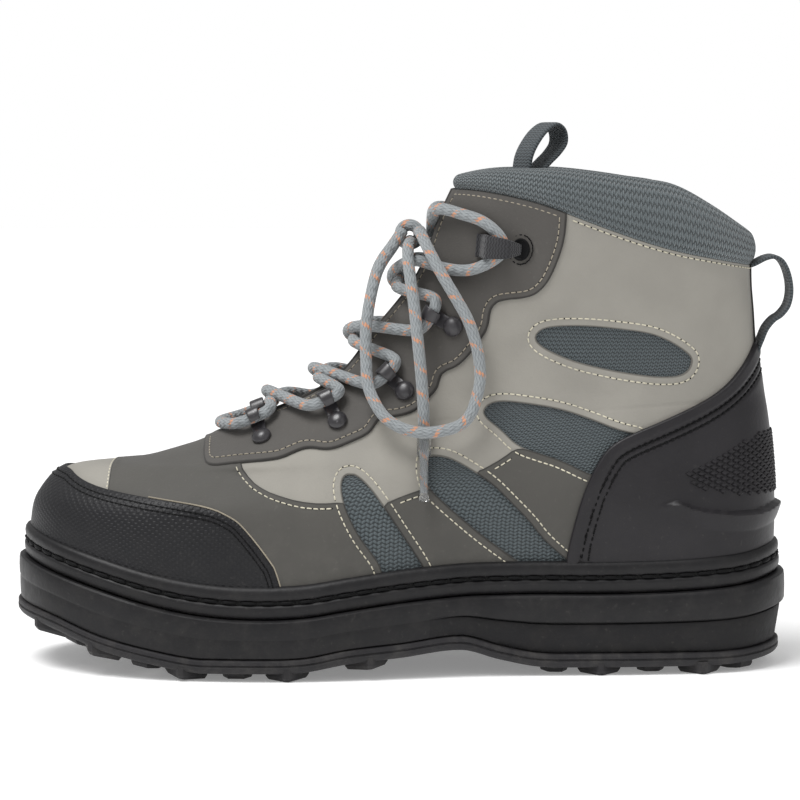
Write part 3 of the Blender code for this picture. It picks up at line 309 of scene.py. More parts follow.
# Side outlines of the panels, x and z in millimetres
TOE_GUARD = rounded(
    millimetres(
        (-175, -15), (-175, 81), (-140, 81), (-133, 76.6), (-124, 74.1), (-111, 72.3), (-94, 70.4),
        (-77, 68.4), (-69, 65), (-65, 62.3), (-56.8, 52.5), (-48.8, 40.8), (-43, -15),
    )
)
TOE_PANEL = rounded(millimetres((-175, 60), (-175, 110), (-119.5, 110), (-119.5, 60)), 1)
COUNTER = rounded(
    millimetres(
        (172, -15), (172, 137), (146.7, 135), (143, 128.5), (138.8, 122.7), (132.9, 116.4), (124.3, 110.7),
        (109.6, 104), (93.3, 97.4), (87.2, 94.1), (82.9, 90.2), (77.7, 80.8), (74, 71.8), (69.7, 55.3),
        (67.8, 44.4), (66, -15),
    )
)
FACING = rounded(
    millimetres(
        (0, 212), (66.5, 212), (66.5, 187), (65.4, 176), (60.5, 163), (56.5, 157.5), (52, 154.8),
        (45, 154), (39, 153), (36, 149), (35.3, 142), (31.6, 136), (24, 126.5), (17.4, 124),
        (15.6, 121), (14.8, 117), (12, 113.8), (6.4, 108), (-0.3, 105.6), (-7.7, 105), (-10.2, 103),
        (-13, 98.5), (-21, 95), (-29, 91.7), (-38, 93), (-45, 90), (-49.5, 88), (-66.4, 86),
        (-77.6, 84), (-80.2, 86), (-80.8, 92), (-80, 101.5), (-60, 125), (-30, 212),
    )
)
INSERT_UPPER = rounded(
    millimetres(
        (53.6, 137.7), (56.4, 141.8), (64.5, 143.1), (76.6, 143.1), (88.9, 141.8), (101.1, 140.1),
        (109.4, 136.7), (115.7, 132.5), (119.1, 129.2), (117.9, 124.3), (113.7, 121.5), (105.5, 121.2),
        (97.3, 122.1), (85, 124.2), (72.8, 127.1), (64.6, 130), (56.5, 134),
    )
)
INSERT_MIDDLE = rounded(
    millimetres(
        (33, 108.3), (36.2, 111.6), (42.3, 112.4), (52.5, 111.2), (64.7, 109.2), (76.9, 105.1), (89.1, 100.2),
        (100, 98), (100, 84), (84, 80), (76.9, 81.7), (64.6, 87.8), (56.5, 90.3), (47.1, 93.5), (40.3, 100.3),
        (34.2, 105.1),
    )
)
INSERT_LOWER = rounded(
    millimetres(
        (8.9, 89.2), (11.8, 90.4), (17.9, 90), (24, 87.6), (32.1, 82.7), (38.2, 78.2), (44.3, 72),
        (52.5, 63.7), (58.7, 55.3), (72, 44), (72, 37), (58.8, 41), (48.6, 45.4), (40.4, 51.4),
        (32.1, 57.7), (19.9, 68.2), (11, 76.5), (8.9, 82.5),
    )
)
INSERT_VAMP = rounded(
    millimetres(
        (-19.8, 83.3), (-22.7, 82.9), (-24.3, 80.6), (-24.7, 76.7), (-23.4, 70.8), (-20.6, 64), (-16.6, 56.7),
        (-12.5, 51.3), (-8.5, 45.5), (-5, 30), (13, 30), (9.8, 43.7), (7.7, 47.9), (3.7, 54.2), (-0.4, 60.4),
        (-4.4, 66.6), (-8.5, 72.7), (-12.5, 77.9), (-16.6, 81.8),
    )
)
BEIGE = rounded(
    millimetres(
        (-66, 125), (-67.5, 92), (-65.6, 85.8), (-61.3, 79.4), (-55.1, 75.8), (-46.9, 72.8), (-36.7, 70.9),
        (-28, 71), (-20, 72.2), (-11.7, 71.5), (-6.5, 70.6), (-0.4, 73.4), (9, 76.5), (19.9, 80.4),
        (31, 83), (42.2, 89.1), (47.1, 93.1), (56.5, 90.5), (64.6, 88), (76.9, 82), (90, 76), (175, 76),
        (175, 230), (-66, 230),
    ),
    1,
)
OLIVE = millimetres((-180, -20), (180, -20), (180, 112), (-180, 112))
# The kick ridge: how far back, its upper edge and its lower edge
KICK_RIDGE_EDGES = millimetres(
    (103.6, 68.3, 67.9), (107.0, 69.9, 66.6), (111.0, 71.0, 64.9), (113.6, 71.0, 63.7), (118.0, 69.2, 61.7),
    (124.2, 67.5, 59.9), (134.8, 66.0, 58.4), (143.7, 65.8, 58.1), (148.5, 66.6, 58.8), (152.5, 68.0, 59.8),
).T
DIAMONDS = rounded(
    millimetres(
        (114.2, 80.8), (122.1, 86.4), (130.6, 90.5), (139.3, 95), (150, 99), (170, 99), (170, 71.6),
        (143.6, 72.2), (132.6, 72.6), (122.1, 75.4),
    ),
    1,
)


def throat_by(level, angle):
    """Distance from the throat's edge, round the ring, with no edge below the throat."""
    round_by = np.abs((angle + 180) % 360 - 180) - throat_edge(level)
    return np.where(level < 6, 0.002 + (6 - level) * 0.02, np.radians(round_by) * 0.036)


def region(*outlines, without=(), throat=True):
    """A test for a patch: inside all of the outlines, outside the others and beside the throat."""

    def keep(level, angle, point):
        """Distance inside the patch."""
        x, z = point[:, 0], point[:, 2]
        by = np.full(len(x), 9.0)
        for outline in outlines:
            by = np.minimum(by, inside_by(outline, x, z))
        for outline in without:
            by = np.minimum(by, -inside_by(outline, x, z))
        return np.minimum(by, throat_by(level, angle)) if throat else by

    return keep


def add_piece(name, shape, material, smooth_to=35.0):
    """Turn a bmesh into a piece on the boot."""
    mesh = bpy.data.meshes.new(name)
    shape.to_mesh(mesh)
    shape.free()
    for one in material if isinstance(material, (list, tuple)) else [material]:
        mesh.materials.append(one)
    mesh.shade_smooth()
    if smooth_to:
        mesh.set_sharp_from_angle(angle=math.radians(smooth_to))
    made = bpy.data.objects.new(name, mesh)
    bpy.context.collection.objects.link(made)
    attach(made, "root")
    return made


def grid(columns, rows):
    """A bmesh grid with its vertices' places across and up, each from 0 to 1."""
    shape = bmesh.new()
    bmesh.ops.create_grid(shape, x_segments=columns, y_segments=rows, size=0.5)
    number = shape.verts.layers.int.new("number")
    for index, vert in enumerate(shape.verts):
        vert[number] = index
    across = np.array([vert.co.x for vert in shape.verts]) + 0.5
    up = np.array([vert.co.y for vert in shape.verts]) + 0.5
    return shape, across, up


def numbers(shape):
    """The grid numbers of the vertices that are left."""
    number = shape.verts.layers.int["number"]
    return [vert[number] for vert in shape.verts]


def move_to(shape, points):
    """Move a shape's vertices, in their order, to points."""
    for vert, point in zip(shape.verts, points.tolist()):
        vert.co = point


def note(shape, values):
    """Keep three numbers at each corner for the materials: way round, way up, distance from the edge."""
    shape.verts.index_update()
    layer = shape.loops.layers.float_vector.new("lay")
    values = values.tolist()
    for face in shape.faces:
        for corner in face.loops:
            corner[layer] = values[corner.vert.index]
    return layer


def snap(shape, first, second, by):
    """Move the vertices next to a cut onto it, in place numbers, and delete what is outside."""
    number = shape.verts.layers.int["number"]
    best = {}
    for edge in shape.edges:
        a, b = (vert[number] for vert in edge.verts)
        if by[a] * by[b] < 0:
            if by[a] < 0:
                a, b = b, a
            share = by[a] / (by[a] - by[b])
            near, far, part = (a, b, share) if share < 0.5 else (b, a, 1 - share)
            if near not in best or part < best[near][0]:
                best[near] = (part, far)
    moved_first, moved_second = first.copy(), second.copy()
    for near, (part, far) in best.items():
        moved_first[near] = mix(first[near], first[far], part)
        moved_second[near] = mix(second[near], second[far], part)
        by[near] = 0.0
    for face in list(shape.faces):
        corners = [by[vert[number]] for vert in face.verts]
        if max(corners) > 0 > min(corners):
            on_cut = [vert for vert in face.verts if by[vert[number]] == 0]
            if len(on_cut) == 2:
                bmesh.utils.face_split(face, on_cut[0], on_cut[1])
    gone = []
    for face in shape.faces:
        corners = [by[vert[number]] for vert in face.verts]
        if min(corners) < 0 or max(corners) == 0:
            gone.append(face)
    bmesh.ops.delete(shape, geom=gone, context="FACES")
    return moved_first, moved_second


def roll_edge(shape, rows, layer):
    """Roll a sheet's open edge down in rows of (way out, way down)."""
    shape.normal_update()
    edges = [edge for edge in shape.edges if edge.is_boundary]
    away, down, base = {}, {}, {}
    for edge in edges:
        face = edge.link_faces[0]
        along = edge.verts[1].co - edge.verts[0].co
        out = along.cross(face.normal)
        if out.dot(edge.verts[0].co - face.calc_center_median()) < 0:
            out.negate()
        for vert in edge.verts:
            away[vert] = away.get(vert, Vector()) + out
            down[vert] = vert.normal.copy()
            base[vert] = vert.co.copy()
    for out_by, down_by in rows:
        made = bmesh.ops.extrude_edge_only(shape, edges=edges)["geom"]
        edges = [item for item in made if isinstance(item, bmesh.types.BMEdge)]
        fresh = {item for item in made if isinstance(item, bmesh.types.BMVert)}
        for vert in fresh:
            beside = (edge.other_vert(vert) for edge in vert.link_edges)
            parent = next(one for one in beside if one not in fresh)
            away[vert], down[vert], base[vert] = away[parent], down[parent], base[parent]
            vert.co = base[vert] + away[vert].normalized() * out_by - down[vert] * down_by
            # The negative distance here is what the nubuck turns into painted shade along the edge.
            for corner in vert.link_loops:
                corner[layer].z = -out_by


# A rolled edge as shares of its layer's thickness: way out and way down
EDGE_ROLL = ((0.16, 0.03), (0.36, 0.20), (0.45, 0.50), (0.45, 1.30))


def patch(name, keep, out, angles, rises, counts, material, thick, relief=None, lip=True):
    """A layer of the upper between angles and rises, cut to its outline, with a rolled edge."""
    shape, across, up = grid(*counts)
    angle = mix(angles[0], angles[1], across)
    level = level_at(mix(rises[0], rises[1], up))
    by = keep(level, angle, skin(level, angle))
    angle, level = snap(shape, angle, level, by)
    points = skin(level, angle)
    by = keep(level, angle, points)
    index = np.array(numbers(shape))
    out_by = out + creases(level, points)
    if relief is not None:
        out_by = out_by + relief(level, angle, points, by)
    round_by = np.interp((angle + 180) % 360 - 180, ANGLES, ARC)
    lay = np.stack((round_by, np.interp(level, LEVELS, RISE), by), -1)
    move_to(shape, surface(level, angle, out_by)[index])
    layer = note(shape, lay[index])
    bmesh.ops.remove_doubles(shape, verts=shape.verts, dist=1e-6)
    face = max(shape.faces, key=lambda one: abs(one.calc_center_median().y))
    if face.normal.y * face.calc_center_median().y < 0:
        bmesh.ops.reverse_faces(shape, faces=shape.faces)
    if lip:
        rows = [(out_share * thick, down_share * thick) for out_share, down_share in EDGE_ROLL]
        roll_edge(shape, rows, layer)
    return add_piece(name, shape, material)


def loft(points, lay=None):
    """A bmesh sheet through rows of points, joined where its sides meet."""
    rows, columns = len(points) - 1, len(points[0]) - 1
    shape, across, up = grid(columns, rows)
    row, column = np.rint(up * rows).astype(int), np.rint(across * columns).astype(int)
    move_to(shape, points[row, column])
    if lay is not None:
        note(shape, lay[row, column])
    bmesh.ops.remove_doubles(shape, verts=shape.verts, dist=1e-7)
    bmesh.ops.recalc_face_normals(shape, faces=shape.faces)
    return shape


def pattern(shape):
    """A shape as a mesh that copies are taken from."""
    mesh = bpy.data.meshes.new("pattern")
    shape.to_mesh(mesh)
    shape.free()
    return mesh


def gather(shapes):
    """One bmesh that holds several, with each one's number as its faces' material."""
    whole = bmesh.new()
    for shape, material_number in shapes:
        for face in shape.faces:
            face.material_index = material_number
        mesh = pattern(shape)
        whole.from_mesh(mesh)
        bpy.data.meshes.remove(mesh)
    return whole


def smooth_route(points, spacing):
    """Points at an even spacing on a smooth curve through the route's own points."""
    points = np.asarray(points, float)
    gone = lengths_along(points)
    count = max(round(gone[-1] / spacing), 2) + 1
    return curve(gone, points, np.linspace(0, gone[-1], count))


def bar(path, radius, sides):
    """A round bar along a path; its corners keep the length along it and the turn round it."""
    along = unit(np.gradient(path, axis=0))
    aside = np.empty_like(path)
    way = np.cross(along[0], (0.3, 0.5, 0.8))
    for index, forward in enumerate(along):
        way = way - forward * (way @ forward)
        way /= np.linalg.norm(way)
        aside[index] = way
    other = np.cross(along, aside)
    turn = np.linspace(0, 2 * np.pi, sides + 1)
    ring = aside[:, None] * np.cos(turn)[:, None] + other[:, None] * np.sin(turn)[:, None]
    ring *= np.broadcast_to(radius, len(path))[:, None, None]
    rows = np.pad(path[:, None] + ring, ((1, 1), (0, 0), (0, 0)), mode="edge")
    rows[0], rows[-1] = path[0], path[-1]
    gone = np.pad(lengths_along(path), 1, mode="edge")
    lay = np.stack(np.broadcast_arrays(gone[:, None], turn, 0.0), -1)
    return loft(rows, lay)


def strap(path, across, width, thick, sides=28):
    """A flat strap along a path; its corners keep the length, the way across and the way out."""
    path = np.asarray(path, float)
    along = unit(np.gradient(path, axis=0))
    across = np.broadcast_to(across, path.shape)
    out = unit(np.cross(along, across))
    turn = np.linspace(0, 2 * np.pi, sides + 1)
    wide, deep = fuller(np.cos(turn), 0.30), fuller(np.sin(turn), 0.55)
    width = np.broadcast_to(width, len(path))[:, None, None]
    rows = path[:, None] + across[:, None] * wide[:, None] * width / 2
    rows = rows + out[:, None] * deep[:, None] * thick / 2
    rows = np.pad(rows, ((1, 1), (0, 0), (0, 0)), mode="edge")
    rows[0], rows[-1] = path[0], path[-1]
    gone = np.pad(lengths_along(path), 1, mode="edge")
    lay = np.stack(np.broadcast_arrays(gone[:, None], wide * width.max() / 2, deep), -1)
    return loft(rows, lay)


def lathe(profile, spot, out, sides=28):
    """A turned shape: rows of (radius, height) round an axis."""
    aside = unit(np.cross(out, (0.31, 0.52, 0.80)))
    other = np.cross(out, aside)
    turn = np.linspace(0, 2 * np.pi, sides + 1)
    ring = aside * np.cos(turn)[:, None] + other * np.sin(turn)[:, None]
    profile = np.asarray(profile, float)
    rows = spot + ring * profile[:, 0, None, None] + out * profile[:, 1, None, None]
    return loft(rows)


def scatter(name, places, materials, smooth_to=None):
    """One piece from copies of patterns, each at a spot with its ways along and out."""
    whole = bmesh.new()
    for mesh, spot, along, out in places:
        turned = Matrix(np.stack((along, np.cross(out, along), out), 1).tolist()).to_4x4()
        turned.translation = spot
        copy = mesh.copy()
        copy.transform(turned)
        whole.from_mesh(copy)
        bpy.data.meshes.remove(copy)
    return add_piece(name, whole, materials, smooth_to)


def spaced(points, normals, pitch):
    """Spots at an even pitch along a line, with the ways along it and out of the boot."""
    gone = lengths_along(points)
    count = max(round(gone[-1] / pitch), 1)
    at = (np.arange(count) + 0.5) * gone[-1] / count
    spots, outs = along_line(at, gone, points), along_line(at, gone, normals)
    ways = unit(along_line(at, gone, np.gradient(points, axis=0)))
    outs = unit(outs - ways * (outs * ways).sum(-1, keepdims=True))
    return list(zip(spots, ways, outs))


def offset(outline, by):
    """A closed side outline moved out by a distance, or in by a negative one."""
    after, before = np.roll(outline, -1, axis=0), np.roll(outline, 1, axis=0)
    way = unit(after - before)
    area = (outline[:, 0] * after[:, 1] - after[:, 0] * outline[:, 1]).sum()
    return outline + np.stack((way[:, 1], -way[:, 0]), -1) * by * np.sign(area)


def side_lines(outline, out, hidden=(), only=()):
    """Lines over both sides of the upper through a side outline, where nothing hides it."""
    outline = np.vstack((outline, outline[:1]))
    gone = lengths_along(outline)
    at = np.linspace(0, gone[-1], round(gone[-1] / 0.0012) + 1)
    outline = along_line(at, gone, outline)
    level, angle = locate(outline)
    seen = np.linalg.norm(skin(level, angle)[:, (0, 2)] - outline, axis=1) < 0.0005
    seen &= (throat_by(level, angle) > 0.0015) & (level < TOP - 0.05)
    for cover in hidden:
        seen &= inside_by(cover, outline[:, 0], outline[:, 1]) < 0
    for cover in only:
        seen &= inside_by(cover, outline[:, 0], outline[:, 1]) > 0
    runs = np.split(np.arange(len(at)), np.flatnonzero(np.diff(seen.astype(int))) + 1)
    lines = []
    for run in runs:
        if seen[run[0]] and len(run) > 4:
            for side in (1, -1):
                at_level, at_angle = level[run], side * angle[run]
                rise = out + creases(at_level, skin(at_level, at_angle))
                lines.append((surface(at_level, at_angle, rise), outward(at_level, at_angle)))
    return lines


def ring_line(keep, by, angles, out):
    """The line over the upper where a patch's upper edge is a distance away."""
    levels = np.linspace(0, 9, 181)
    level, angle = np.meshgrid(levels, angles, indexing="ij")
    points = skin(level, angle).reshape(-1, 3)
    edge = keep(level.ravel(), angle.ravel(), points).reshape(level.shape) - by
    columns = np.flatnonzero((edge > 0).any(0))
    last = len(levels) - 1 - np.argmax(edge[::-1, columns] > 0, axis=0)
    last = np.minimum(last, len(levels) - 2)
    share = edge[last, columns] / (edge[last, columns] - edge[last + 1, columns])
    level = mix(levels[last], levels[last + 1], np.clip(share, 0, 1))
    angle = np.asarray(angles)[columns]
    return surface(level, angle, np.full(len(level), out)), outward(level, angle)


# Creases in the upper: the ends of each in a side view in millimetres, its half width and depth
CREASES = (
    ((-33, 76), (-6, 62), 3.2, 0.55),
    ((-44, 72), (-30, 50), 3.6, 0.45),
    ((8, 74), (22, 66), 3.4, 0.40),
    ((16, 84), (44, 90), 4.0, 0.45),
    ((22, 118), (40, 104), 4.4, 0.50),
    ((44, 128), (68, 148), 5.0, 0.55),
    ((60, 118), (92, 112), 5.0, 0.45),
    ((104, 150), (136, 158), 6.0, 0.60),
    ((118, 176), (140, 168), 4.0, 0.45),
    ((-86, 66), (-70, 76), 4.0, 0.40),
    ((-100, 78), (-84, 84), 4.0, 0.35),
    ((-58, 84), (-50, 66), 3.4, 0.40),
)


def creases(level, points):
    """How far the leather sinks or swells where it bends."""
    x, z = points[:, 0], points[:, 2]
    sunk = np.zeros(len(x))
    for start, end, half, depth in CREASES:
        start, end = np.array(start) / 1000, np.array(end) / 1000
        way = end - start
        share = ((x - start[0]) * way[0] + (z - start[1]) * way[1]) / (way @ way)
        off = ((z - start[1]) * way[0] - (x - start[0]) * way[1]) / np.linalg.norm(way) * 1000 / half
        fade = np.exp(-(((share - 0.5) / 0.42) ** 4))
        sunk += fade * depth / 1000 * (0.55 * np.exp(-((off - 1.5) ** 2)) - np.exp(-(off**2)))
    edge = ease(level / 1.2) * ease((TOP - level) / 1.2)
    return sunk * edge


# Camera at the photograph's angle, tilted down by degrees
CAMERA_PLACE = (-0.0004, -1.300, 0.220)
CAMERA_TILT = 4.863
CAMERA_LENS = 140.4
bpy.context.scene.view_settings.view_transform = "Standard"
camera_data = bpy.data.cameras.new("photo_camera")
camera_data.sensor_width = 36.0
camera_data.lens = CAMERA_LENS
camera = bpy.data.objects.new("photo_camera", camera_data)
camera.location = CAMERA_PLACE
camera.rotation_euler = (math.radians(90 - CAMERA_TILT), 0.0, 0.0)
bpy.context.collection.objects.link(camera)
bpy.context.scene.camera = camera


def add(tree, kind, links=None, **settings):
    """A node with its settings, and its sockets linked or set."""
    node = tree.nodes.new(kind)
    for name, value in settings.items():
        setattr(node, name, value)
    for socket, value in (links or {}).items():
        if isinstance(value, bpy.types.NodeSocket):
            tree.links.new(value, node.inputs[socket])
        else:
            node.inputs[socket].default_value = value
    return node


def work(tree, operation, *values):
    """The output of a Math node."""
    return add(tree, "ShaderNodeMath", dict(enumerate(values)), operation=operation).outputs[0]


def ribs(tree, value):
    """Round ribs, one for each whole step of a value."""
    return work(tree, "ABSOLUTE", work(tree, "SINE", work(tree, "MULTIPLY", value, math.pi)))


def split(tree, vector):
    """A vector's three parts."""
    return add(tree, "ShaderNodeSeparateXYZ", {0: vector}).outputs


def noise(tree, place, scale, detail, **inputs):
    """The output of a noise texture."""
    links = {"Vector": place, "Scale": scale, "Detail": detail, **inputs}
    return add(tree, "ShaderNodeTexNoise", links).outputs["Fac"]


def tint(tree, factor, first, second):
    """The output of a node that mixes two colours."""
    return add(tree, "ShaderNodeMix", {0: factor, 6: first, 7: second}, data_type="RGBA").outputs[2]


def between(tree, value, low, high, to_low=0.0, to_high=1.0):
    """A value moved from one range to another, kept inside it."""
    links = {0: value, 1: low, 2: high, 3: to_low, 4: to_high}
    return add(tree, "ShaderNodeMapRange", links, interpolation_type="SMOOTHSTEP").outputs[0]


def group(name, inputs, outputs):
    """A node group with its inputs and outputs, and its two end nodes."""
    tree = bpy.data.node_groups.new(name, "ShaderNodeTree")
    for socket, kind in inputs:
        tree.interface.new_socket(socket, in_out="INPUT", socket_type=kind)
    for socket in outputs:
        tree.interface.new_socket(socket, in_out="OUTPUT", socket_type="NodeSocketFloat")
    return tree, tree.nodes.new("NodeGroupInput").outputs, tree.nodes.new("NodeGroupOutput").inputs


VECTOR, FLOAT = "NodeSocketVector", "NodeSocketFloat"

# Fine grain: soft cells and hairs in height, and slow blotches in shade
grain_tree, given, result = group("grain", (("Place", VECTOR), ("Scale", FLOAT)), ("Height", "Shade"))
fine = noise(grain_tree, given["Place"], given["Scale"], 3.0)
coarse = work(grain_tree, "MULTIPLY", given["Scale"], 0.42)
cells = add(grain_tree, "ShaderNodeTexVoronoi", {"Vector": given["Place"], "Scale": coarse})
mixed = work(grain_tree, "MULTIPLY_ADD", cells.outputs["Distance"], 0.55, fine)
grain_tree.links.new(mixed, result["Height"])
blotch = noise(grain_tree, given["Place"], 38.0, 5.0)
grain_tree.links.new(between(grain_tree, blotch, 0.30, 0.70), result["Shade"])

# Knit in wavy rows, from the way round and the way up in metres
knit_tree, given, result = group(
    "wavy_knit", (("Lay", VECTOR), ("Row", FLOAT), ("Wave", FLOAT)), ("Height", "Shade")
)
parts = split(knit_tree, given["Lay"])
swing_by = work(knit_tree, "PINGPONG", work(knit_tree, "DIVIDE", parts[0], given["Wave"]), 0.5)
row_at = work(knit_tree, "ADD", work(knit_tree, "DIVIDE", parts[1], given["Row"]), swing_by)
ridge = ribs(knit_tree, row_at)
step = work(knit_tree, "DIVIDE", work(knit_tree, "MULTIPLY", parts[0], 2 * math.pi * 2), given["Wave"])
loops = work(knit_tree, "MULTIPLY_ADD", work(knit_tree, "SINE", step), 0.34, 0.66)
knitted = work(knit_tree, "MULTIPLY", ridge, loops)
knit_tree.links.new(knitted, result["Height"])
# This shade follows the height, so the materials can paint shade in the hollows and highlights on the ribs.
knit_tree.links.new(between(knit_tree, knitted, 0.08, 0.62), result["Shade"])

# Moulded dots in staggered rows
dots_tree, given, result = group("moulded_dots", (("Lay", VECTOR), ("Pitch", FLOAT)), ("Height",))
parts = split(dots_tree, given["Lay"])
turns = work(dots_tree, "DIVIDE", 2 * math.pi, given["Pitch"])
first_wave = work(dots_tree, "SINE", work(dots_tree, "MULTIPLY", parts[0], turns))
second_wave = work(dots_tree, "SINE", work(dots_tree, "MULTIPLY", parts[1], turns))
product = work(dots_tree, "MULTIPLY", first_wave, second_wave)
dots_tree.links.new(between(dots_tree, product, -0.2, 0.8), result["Height"])

# Webbing: ribs along its length, broken by the weave
webbing_tree, given, result = group("webbing_weave", (("Lay", VECTOR), ("Rib", FLOAT)), ("Height",))
parts = split(webbing_tree, given["Lay"])
zigzag = work(webbing_tree, "PINGPONG", work(webbing_tree, "MULTIPLY", parts[1], 420.0), 0.5)
rib_at = work(webbing_tree, "ADD", work(webbing_tree, "DIVIDE", parts[0], given["Rib"]), zigzag)
webbing_tree.links.new(ribs(webbing_tree, rib_at), result["Height"])

# A round braid with long strands and a fleck that winds round it, from length and turn
BRAID_STRANDS = 11
BRAID_PITCH = 0.0042
FLECK_PITCH = 0.0108
braid_tree, given, result = group("round_braid", (("Lay", VECTOR),), ("Height", "Fleck"))
parts = split(braid_tree, given["Lay"])
length_at = work(braid_tree, "DIVIDE", parts[0], BRAID_PITCH)
turn_at = work(braid_tree, "MULTIPLY", parts[1], BRAID_STRANDS / (2 * math.pi))
left = work(braid_tree, "ADD", turn_at, length_at)
right = work(braid_tree, "SUBTRACT", turn_at, length_at)
strands = [ribs(braid_tree, side) for side in (left, right)]
checks = work(braid_tree, "ADD", work(braid_tree, "FLOOR", left), work(braid_tree, "FLOOR", right))
over = work(braid_tree, "GREATER_THAN", work(braid_tree, "FLOORED_MODULO", checks, 2.0), 0.5)
high = add(braid_tree, "ShaderNodeMix", {0: over, 2: strands[0], 3: strands[1]}).outputs[0]
braid_tree.links.new(high, result["Height"])
round_at = work(braid_tree, "DIVIDE", parts[1], 2 * math.pi)
wound = work(braid_tree, "MULTIPLY_ADD", parts[0], 1 / FLECK_PITCH, round_at)
fleck = work(braid_tree, "LESS_THAN", work(braid_tree, "FLOORED_MODULO", wound, 1.0), 0.17)
braid_tree.links.new(work(braid_tree, "MULTIPLY", fleck, over), result["Fleck"])

# Dust and scuffs: more near the floor, broken by noise
wear_tree, given, result = group("dust_and_scuffs", (("Place", VECTOR),), ("Dust", "Scuff"))
height_at = split(wear_tree, given["Place"])[2]
low_down = between(wear_tree, height_at, 0.005, 0.075, 1.0, 0.12)
cloud = noise(wear_tree, given["Place"], 130.0, 8.0, Roughness=0.7)
broken = between(wear_tree, cloud, 0.40, 0.80)
wear_tree.links.new(work(wear_tree, "MULTIPLY", low_down, broken), result["Dust"])
specks = noise(wear_tree, given["Place"], 520.0, 2.0)
wear_tree.links.new(between(wear_tree, specks, 0.66, 0.74), result["Scuff"])


def start(name, rough, **constants):
    """A material with its tree, shader and the two coordinates that patterns follow."""
    made = bpy.data.materials.new(name)
    made.use_nodes = True
    tree = made.node_tree
    shader = tree.nodes["Principled BSDF"]
    shader.inputs["Roughness"].default_value = rough
    for socket, value in constants.items():
        shader.inputs[socket.replace("_", " ")].default_value = value
    place = add(tree, "ShaderNodeTexCoord").outputs["Object"]
    lay = add(tree, "ShaderNodeAttribute", attribute_name="lay").outputs["Vector"]
    return made, tree, shader, place, lay


def use(tree, which, **links):
    """A group node's outputs, with its inputs linked or set."""
    return add(tree, "ShaderNodeGroup", links, node_tree=which).outputs


def press(tree, shader, height, distance, strength=1.0):
    """Feed a height to the shader's normal."""
    bump = add(tree, "ShaderNodeBump", {"Height": height, "Strength": strength, "Distance": distance})
    tree.links.new(bump.outputs[0], shader.inputs["Normal"])


def shade_of(colour, by):
    """A colour made lighter or darker, at most white."""
    return (*(min(part * by, 1.0) for part in colour), 1.0)


DUST = (0.30, 0.28, 0.25, 1.0)


def dusty(tree, shader, place, colour, dust=0.25, scuff=0.10):
    """Lay dust and scuffs over a colour."""
    wear = use(tree, wear_tree, Place=place)
    colour = tint(tree, work(tree, "MULTIPLY", wear["Dust"], dust), colour, DUST)
    colour = tint(tree, work(tree, "MULTIPLY", wear["Scuff"], scuff), colour, DUST)
    tree.links.new(colour, shader.inputs["Base Color"])
    return wear


def nubuck(name, colour):
    """Brushed synthetic leather, with painted shade darkening its rolled cut edge."""
    made, tree, shader, place, lay = start(name, 0.78, Sheen_Weight=0.12, Specular_IOR_Level=0.32)
    grain = use(tree, grain_tree, Place=place, Scale=1500.0)
    blotched = tint(tree, grain["Shade"], shade_of(colour, 0.93), shade_of(colour, 1.06))
    # Painted shade: the colour darkens near the edge and over the rows that roll under.
    inside = between(tree, split(tree, lay)[2], -0.0002, 0.0004)
    edge_painted_shade = tint(tree, inside, shade_of(colour, 0.42), blotched)
    dusty(tree, shader, place, edge_painted_shade, 0.16, 0.05)
    rough = between(tree, grain["Shade"], 0.0, 1.0, 0.70, 0.82)
    tree.links.new(rough, shader.inputs["Roughness"])
    press(tree, shader, grain["Height"], 0.00010, 0.75)
    return made


def wavy_knit(name, colour, row, wave, depth):
    """Knit with wavy rows, with painted highlights on its ribs and painted shade in the hollows between them.
    """
    made, tree, shader, place, lay = start(name, 0.85, Sheen_Weight=0.25, Specular_IOR_Level=0.25)
    knit = use(tree, knit_tree, Lay=lay, Row=row, Wave=wave)
    # Painted shade and highlight: the colour runs from dark in the hollows to light on the ribs.
    painted_rib_shade = tint(tree, knit["Shade"], shade_of(colour, 0.34), shade_of(colour, 1.25))
    grain = use(tree, grain_tree, Place=place, Scale=2600.0)
    blotched = tint(tree, work(tree, "MULTIPLY", grain["Shade"], 0.18), painted_rib_shade, shade_of(colour, 0.75))
    dusty(tree, shader, place, blotched, 0.10, 0.0)
    height = work(tree, "MULTIPLY_ADD", grain["Height"], 0.16, knit["Height"])
    press(tree, shader, height, depth, 1.0)
    return made


def rubber(name, colour, rough, scale=900.0, depth=0.00012, dots=None, dust=0.05):
    """Moulded rubber with a fine grain, and rows of dots where it has a pitch for them, with painted shade
    between the dots.
    """
    made, tree, shader, place, lay = start(name, rough, Specular_IOR_Level=0.27)
    grain = use(tree, grain_tree, Place=place, Scale=scale)
    blotched = tint(tree, grain["Shade"], shade_of(colour, 0.86), shade_of(colour, 1.12))
    height = grain["Height"]
    if dots:
        moulded = use(tree, dots_tree, Lay=lay, Pitch=dots)
        # Painted shade: the rubber darkens in the low ground between the dots.
        blotched = tint(tree, moulded["Height"], shade_of(colour, 0.80), blotched)
        height = work(tree, "MULTIPLY_ADD", moulded["Height"], 1.5, height)
    wear = dusty(tree, shader, place, blotched, dust, 0.03)
    dull = work(tree, "MULTIPLY_ADD", wear["Dust"], 0.22, rough)
    tree.links.new(dull, shader.inputs["Roughness"])
    press(tree, shader, height, depth, 0.8)
    return made


def webbing(name, colour, rib):
    """Ribbed webbing, with painted shade between its ribs and painted highlights on them."""
    made, tree, shader, place, lay = start(name, 0.80, Sheen_Weight=0.2, Specular_IOR_Level=0.3)
    weave = use(tree, webbing_tree, Lay=lay, Rib=rib)
    grain = use(tree, grain_tree, Place=place, Scale=3000.0)
    # Painted shade and highlight: darker in the grooves, lighter on the ribs.
    painted_rib_shade = tint(tree, weave["Height"], shade_of(colour, 0.45), shade_of(colour, 1.20))
    dusty(tree, shader, place, painted_rib_shade, 0.05, 0.05)
    height = work(tree, "MULTIPLY_ADD", grain["Height"], 0.2, weave["Height"])
    press(tree, shader, height, 0.00030, 1.0)
    return made


